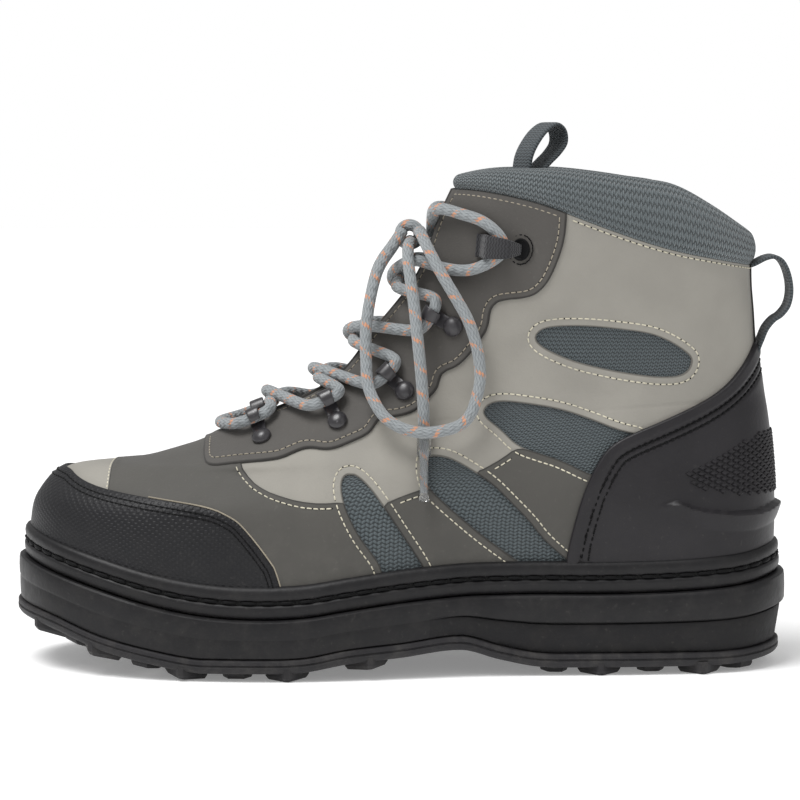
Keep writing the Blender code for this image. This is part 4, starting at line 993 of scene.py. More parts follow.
def thread(name, colour, gloss=0.5):
    """Twisted sewing thread."""
    made, tree, shader, place, _ = start(name, 0.62, Sheen_Weight=0.4 * gloss, Specular_IOR_Level=gloss)
    grain = use(tree, grain_tree, Place=place, Scale=2400.0)
    twisted = tint(tree, grain["Shade"], shade_of(colour, 0.85), shade_of(colour, 1.08))
    tree.links.new(twisted, shader.inputs["Base Color"])
    press(tree, shader, grain["Height"], 0.00008, 0.8)
    return made


def metal(name, colour):
    """Dark painted metal, rubbed bare in scattered specks."""
    made, tree, shader, place, _ = start(name, 0.36, Coat_Weight=0.25, Coat_Roughness=0.3)
    grain = use(tree, grain_tree, Place=place, Scale=1600.0)
    wear = use(tree, wear_tree, Place=place)
    rubbed = work(tree, "MULTIPLY", wear["Scuff"], 0.55)
    blotched = tint(tree, grain["Shade"], shade_of(colour, 0.8), shade_of(colour, 1.25))
    tree.links.new(tint(tree, rubbed, blotched, (0.22, 0.21, 0.22, 1.0)), shader.inputs["Base Color"])
    tree.links.new(work(tree, "MULTIPLY_ADD", grain["Shade"], 0.14, 0.30), shader.inputs["Roughness"])
    tree.links.new(rubbed, shader.inputs["Metallic"])
    press(tree, shader, grain["Height"], 0.00004, 0.6)
    return made


def braid(name, colour, fleck):
    """Round braided lace with bright flecks, and painted shade in the grooves between its strands."""
    made, tree, shader, place, lay = start(name, 0.74, Sheen_Weight=0.3, Specular_IOR_Level=0.3)
    woven = use(tree, braid_tree, Lay=lay)
    # Painted shade: the strands darken where they sink between their neighbours.
    raised = between(tree, woven["Height"], 0.10, 0.75)
    painted_strand_shade = tint(tree, raised, shade_of(colour, 0.68), shade_of(colour, 1.05))
    tree.links.new(tint(tree, woven["Fleck"], painted_strand_shade, (*fleck, 1.0)), shader.inputs["Base Color"])
    grain = use(tree, grain_tree, Place=place, Scale=3200.0)
    press(tree, shader, work(tree, "MULTIPLY_ADD", grain["Height"], 0.15, woven["Height"]), 0.00022, 1.0)
    return made


def clear_plastic(name):
    """A clear tube, a little scratched."""
    made, tree, shader, place, _ = start(name, 0.12, Transmission_Weight=0.92, IOR=1.45)
    grain = use(tree, grain_tree, Place=place, Scale=220.0)
    clouded = tint(tree, grain["Shade"], (0.86, 0.87, 0.87, 1.0), (0.96, 0.97, 0.97, 1.0))
    tree.links.new(clouded, shader.inputs["Base Color"])
    tree.links.new(between(tree, grain["Shade"], 0.0, 1.0, 0.02, 0.06), shader.inputs["Roughness"])
    press(tree, shader, grain["Height"], 0.00003, 0.15)
    return made


SLATE = (0.084, 0.101, 0.108)
COLLAR_SLATE = (0.142, 0.166, 0.175)
slate_mesh = wavy_knit("slate_mesh", SLATE, 0.0020, 0.0027, 0.00050)
collar_knit = wavy_knit("collar_knit", COLLAR_SLATE, 0.0023, 0.0034, 0.00100)
tongue_knit = wavy_knit("tongue_knit", (0.050, 0.068, 0.074), 0.0020, 0.0030, 0.00040)
lining = wavy_knit("lining", (0.040, 0.043, 0.046), 0.0012, 0.0016, 0.00020)
foot_bed = wavy_knit("foot_bed", (0.055, 0.057, 0.060), 0.0016, 0.0020, 0.00020)
olive = nubuck("olive_nubuck", (0.076, 0.073, 0.066))
beige = nubuck("beige_nubuck", (0.285, 0.272, 0.242))
facing = nubuck("facing_nubuck", (0.079, 0.074, 0.068))
guard = rubber("guard_rubber", (0.0120, 0.0120, 0.0138), 0.46, 900.0, 0.00012, dots=0.0024)
counter = rubber("counter_rubber", (0.0170, 0.0157, 0.0178), 0.42, 1200.0, 0.00008)
sole = rubber("sole_rubber", (0.0100, 0.0096, 0.0106), 0.44, 700.0, 0.00012)
rough_sole = rubber("rough_sole_rubber", (0.0095, 0.0091, 0.0101), 0.62, 420.0, 0.00030)
tread_rubber = rubber("tread_rubber", (0.0190, 0.0182, 0.0200), 0.52, 600.0, 0.00016, dust=0.12)
lug_insert = rubber("lug_insert_rubber", (0.210, 0.205, 0.200), 0.60, 600.0, 0.00012)
slate_webbing = webbing("slate_webbing", (0.060, 0.071, 0.078), 0.0013)
black_webbing = webbing("black_webbing", (0.030, 0.030, 0.033), 0.0012)
hook_metal = metal("hook_metal", (0.028, 0.026, 0.029))
lace_braid = braid("lace_braid", (0.270, 0.290, 0.300), (0.56, 0.27, 0.16))
clear = clear_plastic("clear_tube")
cream_thread = thread("cream_thread", (0.62, 0.58, 0.45))
tan_thread = thread("tan_thread", (0.33, 0.29, 0.22))
black_thread = thread("black_thread", (0.0035, 0.0035, 0.0040), 0.12)
# Painted shade: near-black discs that stand for the shade inside the needle holes.
hole_painted_shade = thread("thread_hole_painted_shade", (0.006, 0.006, 0.006), 0.10)

# Ranges that layers cover: all the way round, and from the featherline to the collar
FULL = (-180.0, 180.0)
BEIGE_UNDER = offset(BEIGE, 0.004)
TOE_PANEL_UNDER = offset(TOE_PANEL, 0.003)
INSERTS = (INSERT_UPPER, INSERT_MIDDLE, INSERT_LOWER, INSERT_VAMP)
GUARD_AREA = region(TOE_GUARD, throat=False)
COUNTER_AREA = region(COUNTER, throat=False)

# Grooves that the counter's two seams run in, and the lip outside them
COUNTER_SEAMS = (0.0050, 0.0076)
COUNTER_GROOVE = 0.0006
KICK_RIDGE = 0.0032


def counter_relief(level, angle, points, by):
    """The counter's lip, its two grooves and the kick ridge."""
    rise = 0.0007 * ease((0.0042 - by) / 0.0014)
    for seam in COUNTER_SEAMS:
        rise -= COUNTER_GROOVE * np.exp(-(((by - seam) / 0.0008) ** 2))
    back, high = points[:, 0], points[:, 2]
    upper = np.interp(back, KICK_RIDGE_EDGES[0], KICK_RIDGE_EDGES[1])
    lower = np.interp(back, KICK_RIDGE_EDGES[0], KICK_RIDGE_EDGES[2])
    slope = np.clip((high - lower) / np.maximum(upper - lower, 0.0005), 0.0, 1.0) ** 0.8
    brink = ease((upper + 0.0006 - high) / 0.0018) * ease((back - KICK_RIDGE_EDGES[0][0]) / 0.012)
    return rise + KICK_RIDGE * slope * brink


def pressed(at, depth=0.00025):
    """A relief that a seam at a distance from the edge presses in."""
    return lambda level, angle, points, by: -depth * np.exp(-(((by - at) / 0.0006) ** 2))


def heel_strip(level, angle, points):
    """Distance inside the strip up the middle of the heel."""
    side = 0.0044 - np.abs(points[:, 1] - swing(points[:, 0], level))
    return np.minimum(side, points[:, 2] - 0.126)


whole = patch(
    "upper_mesh", region(), MESH_OUT, FULL, (0.0, RISE[-1]), (320, 84),
    [slate_mesh, lining], 0.0, lip=False,
)
wall = whole.modifiers.new("wall", "SOLIDIFY")
wall.thickness = UPPER_WALL
wall.offset = -1.0
wall.material_offset = 1
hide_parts("upper")
patch(
    "shaft_panel", region(BEIGE_UNDER, without=INSERTS), BEIGE_OUT, FULL, (0.030, RISE[-1]), (440, 110),
    beige, 0.0011, pressed(INSERT_SEAM),
)
patch(
    "toe_panel", region(TOE_PANEL_UNDER), BEIGE_OUT, (-80, 80), (0.020, 0.080), (120, 50),
    beige, 0.0011,
)
patch(
    "vamp_and_quarter", region(OLIVE, without=(BEIGE, TOE_PANEL, *INSERTS)), OLIVE_OUT, FULL,
    (0.004, 0.110), (460, 90), olive, 0.0010, pressed(PANEL_SEAM),
)
patch(
    "heel_strip", heel_strip, HEEL_STRIP_OUT, (170, 190), (0.080, RISE[-1]), (30, 70),
    facing, 0.0010,
)
made = patch(
    "facing", region(FACING), FACING_OUT, (-100, 100), (0.030, RISE[-1]), (300, 120),
    facing, 0.0014, pressed(FACING_SEAM),
)
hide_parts("eyestay")
made = patch(
    "toe_guard_skin", GUARD_AREA, GUARD_OUT, (-86, 86), (0.006, 0.062), (220, 64),
    guard, 0.0016,
)
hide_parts("toe_guard")
made = patch(
    "counter_skin", COUNTER_AREA, COUNTER_OUT, (92, 268), (0.006, 0.160), (240, 180),
    counter, 0.0022, counter_relief,
)
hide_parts("heel_counter")

# Diamond scales over the counter's back, edge to edge, in rows that are set half a scale apart
SCALE_WIDTH = 0.0043
SCALE_ROW = 0.00122
SCALE_TILT = -17
SCALE_START = 1.2
SCALE_EDGE = 0.0006
scale_shape = bmesh.new()
bmesh.ops.create_cone(scale_shape, cap_ends=True, segments=4, radius1=1.0, radius2=0.58, depth=1.0)
bmesh.ops.bevel(
    scale_shape, geom=scale_shape.edges, offset=0.05, segments=1, profile=0.5, affect="EDGES", material=-1
)
bmesh.ops.scale(scale_shape, vec=(0.50 * SCALE_WIDTH, 0.98 * SCALE_ROW, 0.0015), verts=scale_shape.verts)
scale_turn = Matrix.Rotation(math.radians(SCALE_TILT), 3, "X")
bmesh.ops.rotate(scale_shape, cent=(0, 0, 0), matrix=scale_turn, verts=scale_shape.verts)
scale_mesh = pattern(scale_shape)
places = []
heel_rise = lengths_along(skin(LEVELS, 150.0))
for row in range(40):
    level = np.interp(np.interp(SCALE_START, LEVELS, heel_rise) + SCALE_ROW * row, heel_rise, LEVELS)
    for column in np.arange(-14, 15) + 0.5 * (row % 2):
        from_heel = 180.0 - np.interp(ARC[-1] - abs(column) * SCALE_WIDTH, ARC, ANGLES)
        angle = 180.0 + np.sign(column) * from_heel
        spot = skin(level, angle)
        if inside_by(DIAMONDS, spot[:1], spot[2:])[0] > SCALE_EDGE:
            out = outward(level, angle)
            round_way = unit(skin(level, angle + 0.5) - skin(level, angle - 0.5))
            places.append((scale_mesh, spot + out * (COUNTER_OUT + 0.00005), round_way, out))
scatter("counter_scales", places, counter, 20.0)


def stitch(length, radius):
    """One stitch along X that dips into the leather at its ends."""
    along = np.linspace(-0.5, 0.5, 6)
    path = np.stack((along * length, along * 0, radius * (0.55 - 2.6 * np.abs(along) ** 2.2 * 1.6)), -1)
    return pattern(bar(path, radius * np.array((0.7, 1, 1, 1, 1, 0.7)), 6))


def hole_shade_disc(radius):
    """A flat dark disc where the thread goes in: painted shade of the needle hole."""
    shape = bmesh.new()
    bmesh.ops.create_circle(shape, cap_ends=True, segments=8, radius=radius)
    for face in shape.faces:
        face.material_index = 1
    return pattern(shape)


def sew(name, lines, pitch, share, radius, material, sink=0.0):
    """Rows of stitches with flat discs of painted shade for the holes between them."""
    one, hole = stitch(pitch * share, radius), hole_shade_disc(radius * 1.15)
    places = []
    for points, normals in lines:
        for spot, way, out in spaced(points, normals, pitch):
            places.append((one, spot - out * sink, way, out))
            places.append((hole, spot - out * (sink - 0.00006) + way * pitch / 2, way, out))
    return scatter(name, places, [material, hole_painted_shade])


lines = []
for insert in INSERTS:
    seam = offset(insert, INSERT_SEAM)
    lines += side_lines(seam, BEIGE_OUT, (COUNTER, FACING, *INSERTS), (BEIGE,))
    lines += side_lines(seam, OLIVE_OUT, (COUNTER, FACING, BEIGE, TOE_GUARD, *INSERTS))
sew("insert_stitches", lines, 0.0026, 0.74, 0.00030, cream_thread, 0.0002)
covers = [offset(insert, 0.0045) for insert in INSERTS]
lines = side_lines(offset(BEIGE, PANEL_SEAM), OLIVE_OUT, (COUNTER, FACING, TOE_GUARD, *covers))
toe_seam = ring_line(region(TOE_PANEL), 0.0010, np.arange(-62, 62.5, 1.0), BEIGE_OUT)
sew("panel_stitches", [*lines, toe_seam], 0.0026, 0.76, 0.00028, cream_thread, 0.0002)

lines = side_lines(offset(FACING, -FACING_SEAM), FACING_OUT)
edge_levels = np.linspace(6.15, 10.75, 90)
rim_angles = np.linspace(24, 74, 60)
for side in (1, -1):
    angle = side * (throat_edge(edge_levels) + 3.6)
    lines.append((surface(edge_levels, angle, FACING_OUT), outward(edge_levels, angle)))
    level = np.full(len(rim_angles), 10.86)
    lines.append((surface(level, side * rim_angles, FACING_OUT), outward(level, side * rim_angles)))
sew("facing_stitches", lines, 0.0026, 0.74, 0.00026, tan_thread, 0.0002)
collar_angles = np.linspace(79, 281, 260)
level = np.full(len(collar_angles), 10.88)
sew(
    "collar_stitches", [(surface(level, collar_angles, BEIGE_OUT), outward(level, collar_angles))],
    0.0028, 0.72, 0.00030, cream_thread,
)
guard_angles = np.arange(-84, 84.5, 0.5)
lines = [ring_line(GUARD_AREA, by, guard_angles, GUARD_OUT) for by in (0.0019, 0.0036)]
sew("guard_stitches", lines, 0.0024, 0.70, 0.00030, black_thread, 0.0)
counter_angles = np.arange(96, 264.5, 0.5)
lines = [ring_line(COUNTER_AREA, by, counter_angles, COUNTER_OUT - 0.0004) for by in COUNTER_SEAMS]
sew("counter_stitches", lines, 0.0028, 0.62, 0.00040, black_thread, 0.0)
for side, angles in (("outer", np.arange(46, 84, 0.5)), ("inner", np.arange(-83.5, -45.5, 0.5))):
    points = ring_line(GUARD_AREA, -0.0009, angles, OLIVE_OUT + 0.0001)[0]
    add_piece(f"guard_edge_{side}", bar(points, 0.00034, 6), tan_thread)


def foot_levels(angle, up):
    """Levels at which the upper is a height up over the sole's top."""
    low, high = np.zeros(len(angle)), np.full(len(angle), 2.0)
    for _ in range(24 if up > 0 else 0):
        middle = (low + high) / 2
        point = skin(middle, angle)
        under = point[:, 2] < sole_top(point[:, 0]) + FIT + up
        low, high = np.where(under, middle, low), np.where(under, high, middle)
    return low if up <= 0 else high


def foot_ring(angle, out, height, up=0.0, step_in=0.0, taper=0.0):
    """Points round the upper's foot, moved out and set to a height(x)."""
    here = skin(foot_levels(angle, up), angle)
    place = here[:, 0] / LENGTH + 0.5
    reach = out - step_in * ease((place - 0.52) / 0.10) - taper * ease((place - 0.80) / 0.20)
    here = here + flat_way(angle) * reach[:, None]
    here[:, 2] = height(here[:, 0])
    return here


def flat_way(angle):
    """The way out of the foot at its sole, level with the floor."""
    return unit(outward(0.0, angle) * (1.0, 1.0, 0.0))


def to_centre(ring, height, shares):
    """Rings from a ring in to the foot's centre line, at a height(x)."""
    rows = []
    for share in shares:
        row = ring.copy()
        row[:, 1] = mix(ring[:, 1], swing(ring[:, 0], 0.0), share)
        row[:, 2] = height(row[:, 0])
        rows.append(row)
    return rows


def outsole_base(x):
    """Height of the rubber that the lugs stand on."""
    return tread(x) + LUG_DEPTH


def outsole_top(x):
    """Height of the outsole's upper face."""
    return outsole_base(x) + OUTSOLE_THICK


ROUND = np.linspace(0.0, 360.0, 481)


def midsole_piece():
    """The thick side wall, with its seam line behind the arch and a rougher foot."""
    rows = []
    for out, part, step_in, taper in (
        (0.0040, 0.000, 0.0012, 0.7), (0.0064, 0.000, 0.0012, 0.7), (0.0068, 0.030, 0.0012, 0.7),
        (0.0070, 0.150, 0.0012, 0.6), (0.0071, 0.300, 0.0012, 0.4), (0.0071, 0.455, 0.0011, 0.2),
        (0.0070, 0.485, 0.0012, 0.2), (0.0070, 0.500, 0.0022, 0.1), (0.0071, 0.520, 0.0022, 0.1),
        (0.0072, 0.535, 0.0002, 0.0), (0.0073, 0.560, 0.0, 0.0), (0.0074, 0.720, 0.0, 0.0),
        (0.0073, 0.880, 0.0, 0.0), (0.0070, 0.945, 0.0, 0.0), (0.0062, 0.985, 0.0, 0.0),
        (0.0050, 1.000, 0.0, 0.0), (0.0020, 1.000, 0.0, 0.0),
    ):
        def height(x, part=part):
            """Height of this row."""
            return mix(outsole_top(x) + FIT / 2, sole_top(x), part)

        rows.append(foot_ring(ROUND, out, height, 0.0, step_in, HEEL_TAPER * taper))
    bottom = to_centre(rows[0], lambda x: outsole_top(x) + FIT / 2, (1.0,))
    top = to_centre(rows[-1], sole_top, (0.5, 1.0))
    shape = loft(np.array([*bottom, *rows, *top]))
    for face in shape.faces:
        middle = face.calc_center_median()
        low = middle.z < mix(outsole_top(middle.x), sole_top(middle.x), 0.50)
        face.material_index = 1 if low and middle.x > 0.012 else 0
    made = add_piece("midsole_wall", shape, [sole, rough_sole], 30.0)
    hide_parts("midsole")


WELT_PROFILE = (
    (0.00045, 0.00), (0.0036, 0.00), (0.0043, 0.03), (0.0047, 0.09), (0.0049, 0.17), (0.0049, 0.30),
    (0.0047, 0.37), (0.0041, 0.42), (0.0032, 0.44), (0.0030, 0.50), (0.0032, 0.545), (0.0038, 0.57),
    (0.0042, 0.62), (0.0043, 0.72), (0.0040, 0.84), (0.0033, 0.93), (0.0022, 0.98), (0.0008, 1.00),
    (0.00045, 0.97), (0.00045, 0.50), (0.00045, 0.00),
)
WELT_SEAM = 0.50


def welt_piece():
    """The welt, with long stitches lying in its groove."""
    rows = []
    for out, rise in WELT_PROFILE:
        up = WELT_HEIGHT * rise
        rows.append(foot_ring(ROUND, out, lambda x, up=up: sole_top(x) + FIT + up, up))
    made = add_piece("welt_band", loft(np.array(rows)), sole, 50.0)
    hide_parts("welt")
    up = WELT_HEIGHT * WELT_SEAM
    points = foot_ring(ROUND, 0.0037, lambda x: sole_top(x) + FIT + up, up)
    sew("welt_stitches", [(points, flat_way(ROUND))], 0.0078, 0.82, 0.00070, black_thread, 0.0)


def outsole_piece():
    """The rubber bottom with its lugs, inserts and screw bosses."""
    rows = []
    for out, part in (
        (0.0040, 1.0), (0.0070, 1.0), (0.0076, 0.96), (0.0079, 0.86), (0.0079, 0.66), (0.0074, 0.60),
        (0.0075, 0.54), (0.0080, 0.48), (0.0079, 0.25), (0.0072, 0.08), (0.0058, 0.0),
    ):
        def height(x, part=part):
            """Height of this row."""
            return mix(outsole_base(x), outsole_top(x) - FIT / 2, part)

        rows.append(foot_ring(ROUND, out, height, taper=HEEL_TAPER))
    top = to_centre(rows[0], lambda x: outsole_top(x) - FIT / 2, (1.0,))
    bottom = to_centre(rows[-1], outsole_base, (0.10, 0.30, 0.50, 0.75, 1.0))
    shapes = [(loft(np.array([*top, *rows, *bottom])), 0)]
    for kind, inset, length, width, outer, inner in EDGE_LUGS:
        for side, row in ((1, outer), (-1, inner)):
            for place in row:
                angle = np.linspace(2, 178, 353)
                angle = side * np.interp(at_place(place), skin(0.0, angle)[:, 0], angle)
                way = flat_way(angle)
                spot = skin(0.0, angle) + way * (OUTSOLE_OUT - inset)
                shapes += lug(kind, spot, way, length, width)
    for kind, length, width, row in CENTRE_LUGS:
        for place in row:
            x = at_place(place)
            spot = np.array((x, swing(x, 0.0), 0.0))
            shapes += lug(kind, spot, np.array((1.0, 0.0, 0.0)), length, width)
    made = add_piece("outsole_tread", gather(shapes), [tread_rubber, lug_insert], 32.0)
    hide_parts("outsole")


# Lugs at the edge: kind, way in from it, length, width, then places on the outer and the inner side
EDGE_LUGS = (
    ("kite", 0.0110, 0.022, 0.018, (0.03, 0.10, 0.215, 0.35, 0.455), (0.06, 0.165, 0.28, 0.41)),
    ("wedge", 0.0170, 0.025, 0.015, (0.064, 0.157, 0.283), (0.112, 0.222, 0.345)),
    ("boss", 0.0330, 0.010, 0.010, (0.115, 0.225), (0.115, 0.255)),
    ("kite", 0.0110, 0.022, 0.018, (0.765, 0.90), (0.70, 0.835, 0.955)),
    ("wedge", 0.0165, 0.022, 0.014, (0.705, 0.835, 0.96), (0.768, 0.90)),
)
# Lugs down the middle: kind, length, width and places
CENTRE_LUGS = (
    ("kite", 0.016, 0.016, (0.055, 0.17, 0.29, 0.39)),
    ("boss", 0.010, 0.010, (0.34, 0.44, 0.865)),
    ("wedge", 0.020, 0.014, (0.105, 0.23, 0.77)),
)
# Each lug's outline in shares of half its length and half its width
LUG_OUTLINES = {
    "kite": np.array(((1.0, 0.12), (0.15, 0.98), (-0.92, 0.36), (-0.92, -0.36), (0.15, -0.98), (1.0, -0.12))),
    "wedge": rounded(np.array(((0.97, 0.92), (-0.97, 0.56), (-0.97, -0.56), (0.97, -0.92))), 1),
    "boss": np.array([(math.cos(turn), math.sin(turn)) for turn in np.linspace(0, 2 * math.pi, 25)[:-1]]),
}
# Rows of each lug as share of its outline and height over the tread, then those of the grey insert
LUG_ROWS = {
    "kite": ((1.0, 0.0016), (0.92, 0.0006), (0.86, 0.0), (0.60, 0.0), (0.52, 0.0010), (0.0, 0.0010)),
    "wedge": ((1.0, 0.0020), (0.94, 0.0009), (0.90, 0.0006), (0.84, 0.0006), (0.80, 0.0016), (0.0, 0.0016)),
    "boss": ((1.0, 0.0012), (0.96, 0.0003), (0.88, 0.0), (0.70, 0.0), (0.62, 0.0008), (0.0, 0.0012)),
}
INSERT_ROWS = ((0.72, 0.0026), (0.72, 0.0006), (0.66, 0.0001), (0.58, 0.0), (0.20, 0.0), (0.0, 0.0))
SLOT_REACH = 0.0024


def lug(kind, spot, way, length, width):
    """One lug as closed lofts with their material numbers."""
    outline = np.vstack((LUG_OUTLINES[kind], LUG_OUTLINES[kind][:1]))
    side = np.array((-way[1], way[0], 0.0))
    sets = [(((0.0, None), (1.0, None), *LUG_ROWS[kind]), 0)]
    if kind == "wedge":
        sets.append((((0.0, 0.0026), *INSERT_ROWS), 1))
    shapes = []
    for table, number in sets:
        rows = []
        for share, height in table:
            row = spot + (way * outline[:, :1] * length + side * outline[:, 1:] * width) / 2 * share
            over = LUG_DEPTH + OUTSOLE_THICK / 3 if height is None else height
            row[:, 2] = tread(row[:, 0]) + over
            rows.append(row)
        shapes.append((loft(np.array(rows)), number))
    if kind == "boss":
        for turn in (math.pi / 4, -math.pi / 4):
            arm = way * math.cos(turn) + side * math.sin(turn)
            low = tread(spot[0]) + 0.0006
            reach = np.array((-SLOT_REACH, 0.0, SLOT_REACH))[:, None]
            path = spot * (1, 1, 0) + arm * reach + (0, 0, low)
            shapes.append((bar(path, 0.00055, 6), 0))
    return shapes


midsole_piece()
welt_piece()
outsole_piece()

# The foot bed, cupped up at its edge
BED_LEVEL = 0.2
BED_THICK = 0.0036
BED_CUP = 0.0016
across = np.linspace(0, 1, 25)
half_turn = np.linspace(0.0, 180.0, 121)
bed_in = np.full(len(half_turn), -UPPER_WALL - 0.0014)
bed = []
for lift in (0.0, 1.0):
    outer_edge = surface(BED_LEVEL, half_turn, bed_in)
    inner_edge = surface(BED_LEVEL, -half_turn, bed_in)
    rows = outer_edge[:, None] + (inner_edge - outer_edge)[:, None] * across[:, None]
    cup = BED_CUP * np.abs(2 * across - 1) ** 4
    rows[..., 2] = sole_top(rows[..., 0]) + FIT + lift * (BED_THICK + cup)
    bed.append(rows)
rows = np.concatenate((bed[1], bed[0][:, ::-1], bed[1][:, :1]), 1)
lay = np.stack((rows[..., 0], rows[..., 1], rows[..., 0] * 0 + 0.01), -1)
made = add_piece("foot_bed", loft(rows, lay), foot_bed, 40.0)
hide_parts("insole")


def closed_ends(points, lay):
    """Rows with one more at each end, drawn together in its middle."""
    first, last = (
        np.broadcast_to(row.mean(1, keepdims=True), row.shape) for row in (points[:1], points[-1:])
    )
    return np.concatenate((first, points, last)), np.concatenate((lay[:1], lay, lay[-1:]))


def collar_piece():
    """The padded collar, rounded off at both sides of the throat."""
    thick, lining_at = COLLAR_PAD_THICK, -UPPER_WALL - 2 * FIT
    profile = (
        (0.0006, 0.00, TOP), (0.0024, 0.16, TOP), (0.0032, 0.38, TOP), (0.0028, 0.62, TOP),
        (0.0010, 0.86, TOP), (-0.34 * thick, 1.00, TOP), (-0.72 * thick, 0.95, TOP),
        (-thick, 0.60, TOP), (-thick, 0.10, TOP), (-thick + 0.0014, 0.00, 10.5),
        (lining_at - 0.0016, 0.0, 10.1), (lining_at, 0.0, 10.2), (lining_at, 0.0, TOP), (0.0006, 0.00, TOP),
    )
    section = curve(range(len(profile)), profile, np.linspace(0, len(profile) - 1, 92))
    edge = float(throat_edge(np.array(float(TOP))))
    angle = np.linspace(edge, 360 - edge, 421)
    near = np.clip(np.minimum(angle - edge, 360 - edge - angle) / 6.0, 0, 1)
    full = np.maximum(np.sqrt(1 - (1 - near) ** 2), 0.10)[:, None]
    share = (1 - np.cos(np.radians(angle))) / 2
    height = COLLAR_PAD_HEIGHT * curve(COLLAR_SHARES, COLLAR_PADS, share)[:, None]
    out = mix(-0.3 * thick, section[:, 0], full)
    level = np.broadcast_to(np.clip(section[:, 2], 0, TOP), out.shape)
    points = surface(level, np.broadcast_to(angle[:, None], out.shape), out)
    points[..., 2] += height * section[:, 1] * full + FIT
    up = lengths_along(points[210])
    around = np.interp((angle + 180) % 360 - 180, ANGLES, ARC)
    around = np.where(angle < 180, around, around + ARC[-1])
    lay = np.stack(np.broadcast_arrays(around[:, None], up, 0.01), -1)
    made = add_piece("collar_padding", loft(*closed_ends(points, lay)), collar_knit, 60.0)
    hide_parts("collar_pad")


def tongue_point(level, angle, out):
    """Points of the tongue, which leans back and stands over the collar."""
    point = surface(np.minimum(level, TOP), angle, out)
    point[..., 0] += TONGUE_LEAN * ease((level - 7.3) / 5.4)
    point[..., 2] += SHAFT_HEIGHT * 0.055 * np.maximum(level - TOP, 0)
    return point


def tongue_piece():
    """The padded tongue, thick along its middle."""
    level = np.linspace(TONGUE_LOW, TONGUE_HIGH, 90)[:, None]
    turn = np.linspace(0, 2 * np.pi, 73)
    close = np.clip(np.minimum((TONGUE_HIGH - level) / 0.5, (level - TONGUE_LOW) / 0.3), 0, 1)
    close = np.maximum(np.sqrt(1 - (1 - close) ** 2), 0.12)
    aside, face = fuller(np.cos(turn), 0.9), fuller(np.sin(turn), 0.7)
    half = mix(34.0, 50.0, ease((level - TONGUE_LOW) / 5)) * mix(0.86, 1.0, close)
    thick = TONGUE_THICK * (0.35 + 0.65 * np.cos(aside * np.pi / 2)) * close
    seam = 0.0007 * np.exp(-(((np.abs(aside) - 0.82) / 0.05) ** 2))
    out = -UPPER_WALL - TONGUE_GAP - TONGUE_THICK * 0.38 + (thick / 2) * face - seam * (face > 0)
    level = np.broadcast_to(level, out.shape)
    points = tongue_point(level, half * aside, out)
    lay = np.stack((aside * 0.045 + level * 0, level * 0.0118, level * 0 + 0.01), -1)
    made = add_piece("tongue_padding", loft(*closed_ends(points, lay)), tongue_knit, 60.0)
    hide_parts("tongue")


collar_piece()
tongue_piece()

# Pull loops: path as shares of the loop's height, along its way and up
TONGUE_LOOP = (
    (0.00, 0.00), (0.06, 0.32), (0.22, 0.60), (0.46, 0.86), (0.74, 1.00),
    (0.94, 0.88), (0.98, 0.62), (0.82, 0.40), (0.58, 0.20), (0.36, 0.00),
)
HEEL_LOOP = (
    (-0.09, 0.96), (-0.04, 0.98), (0.00, 1.00), (0.10, 1.05), (0.21, 1.07), (0.31, 1.02), (0.39, 0.87),
    (0.43, 0.65), (0.40, 0.45), (0.31, 0.32), (0.21, 0.25), (0.12, 0.14), (0.06, 0.00), (0.02, -0.10),
    (-0.02, -0.22),
)
TONGUE_LOOP_FOOT = (0.05015, 0.0, 0.20478)
TONGUE_LOOP_HEIGHT = 0.0195
TONGUE_LOOP_TURN = 0.60
HEEL_LOOP_HEIGHT = 0.032
WEBBING_THICK = 0.0018

ahead = np.array((math.cos(TONGUE_LOOP_TURN), math.sin(TONGUE_LOOP_TURN), 0.0))
table = np.array(TONGUE_LOOP) * TONGUE_LOOP_HEIGHT
route = TONGUE_LOOP_FOOT + ahead * table[:, :1] + np.array((0, 0, 1.0)) * table[:, 1:]
route = np.vstack((route[0] - (0, 0, 0.003), route, route[-1] - (0, 0, 0.003)))
shape = strap(smooth_route(route, 0.0008), np.array((-ahead[1], ahead[0], 0.0)), 0.012, WEBBING_THICK)
made = add_piece("tongue_pull_loop", shape, slate_webbing, 40.0)
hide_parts("tongue_loop")
foot = skin(8.0, 180.0)
table = np.array(HEEL_LOOP) * HEEL_LOOP_HEIGHT
route = foot + np.stack((table[:, 0] + 2 * FIT + 0.001, table[:, 0] * 0, table[:, 1]), -1)
shape = strap(smooth_route(route, 0.0008), np.array((0.0, 1.0, 0.0)), 0.020, WEBBING_THICK)
made = add_piece("heel_pull_loop", shape, slate_webbing, 40.0)
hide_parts("heel_loop")

# Hooks: where each disc is riveted, and the point that its ring leans to, from the toe up
HOOKS = (
    (5.39, 37.7, 6.08, 19.0),
    (6.03, 51.5, 6.63, 31.0),
    (6.82, 54.4, 7.25, 39.0),
    (8.23, 53.7, 8.45, 39.5),
)
HOOK_SEAT = 0.0023
HOOK_REACH = 0.0092
HOOK_WALL = 0.0012
HOOK_WIDTH = 0.0062
RING_HOLE = LACE_DIAMETER / 2 + 0.0005
RING_RADIUS = RING_HOLE + HOOK_WALL
# The strip from the disc out to the ring, then the disc's radii and heights
HOOK_SHANK = ((0.0008, 0, 0.0009), (0.0036, 0, 0.0008), (0.0066, 0, 0.0007))
HOOK_DISC = (
    (0.0, 0.0), (0.0038, 0.0), (0.0041, 0.0003), (0.0041, 0.0010), (0.0039, 0.0014), (0.0035, 0.0018),
    (0.0027, 0.0025), (0.0018, 0.0029), (0.0009, 0.0031), (0.0, 0.0031),
)


def hook_frame(number, side):
    """A hook's spot and its ways along to the ring, across along the lace, and out."""
    level, angle, ring_level, ring_angle = HOOKS[number]
    spot = surface(level, side * angle, HOOK_SEAT)
    out = outward(level, side * angle)
    along = surface(ring_level, side * ring_angle, HOOK_SEAT) - spot
    along = unit(along - out * (along @ out))
    across = np.cross(out, along)
    return spot, along, across * np.sign(across[2]), out


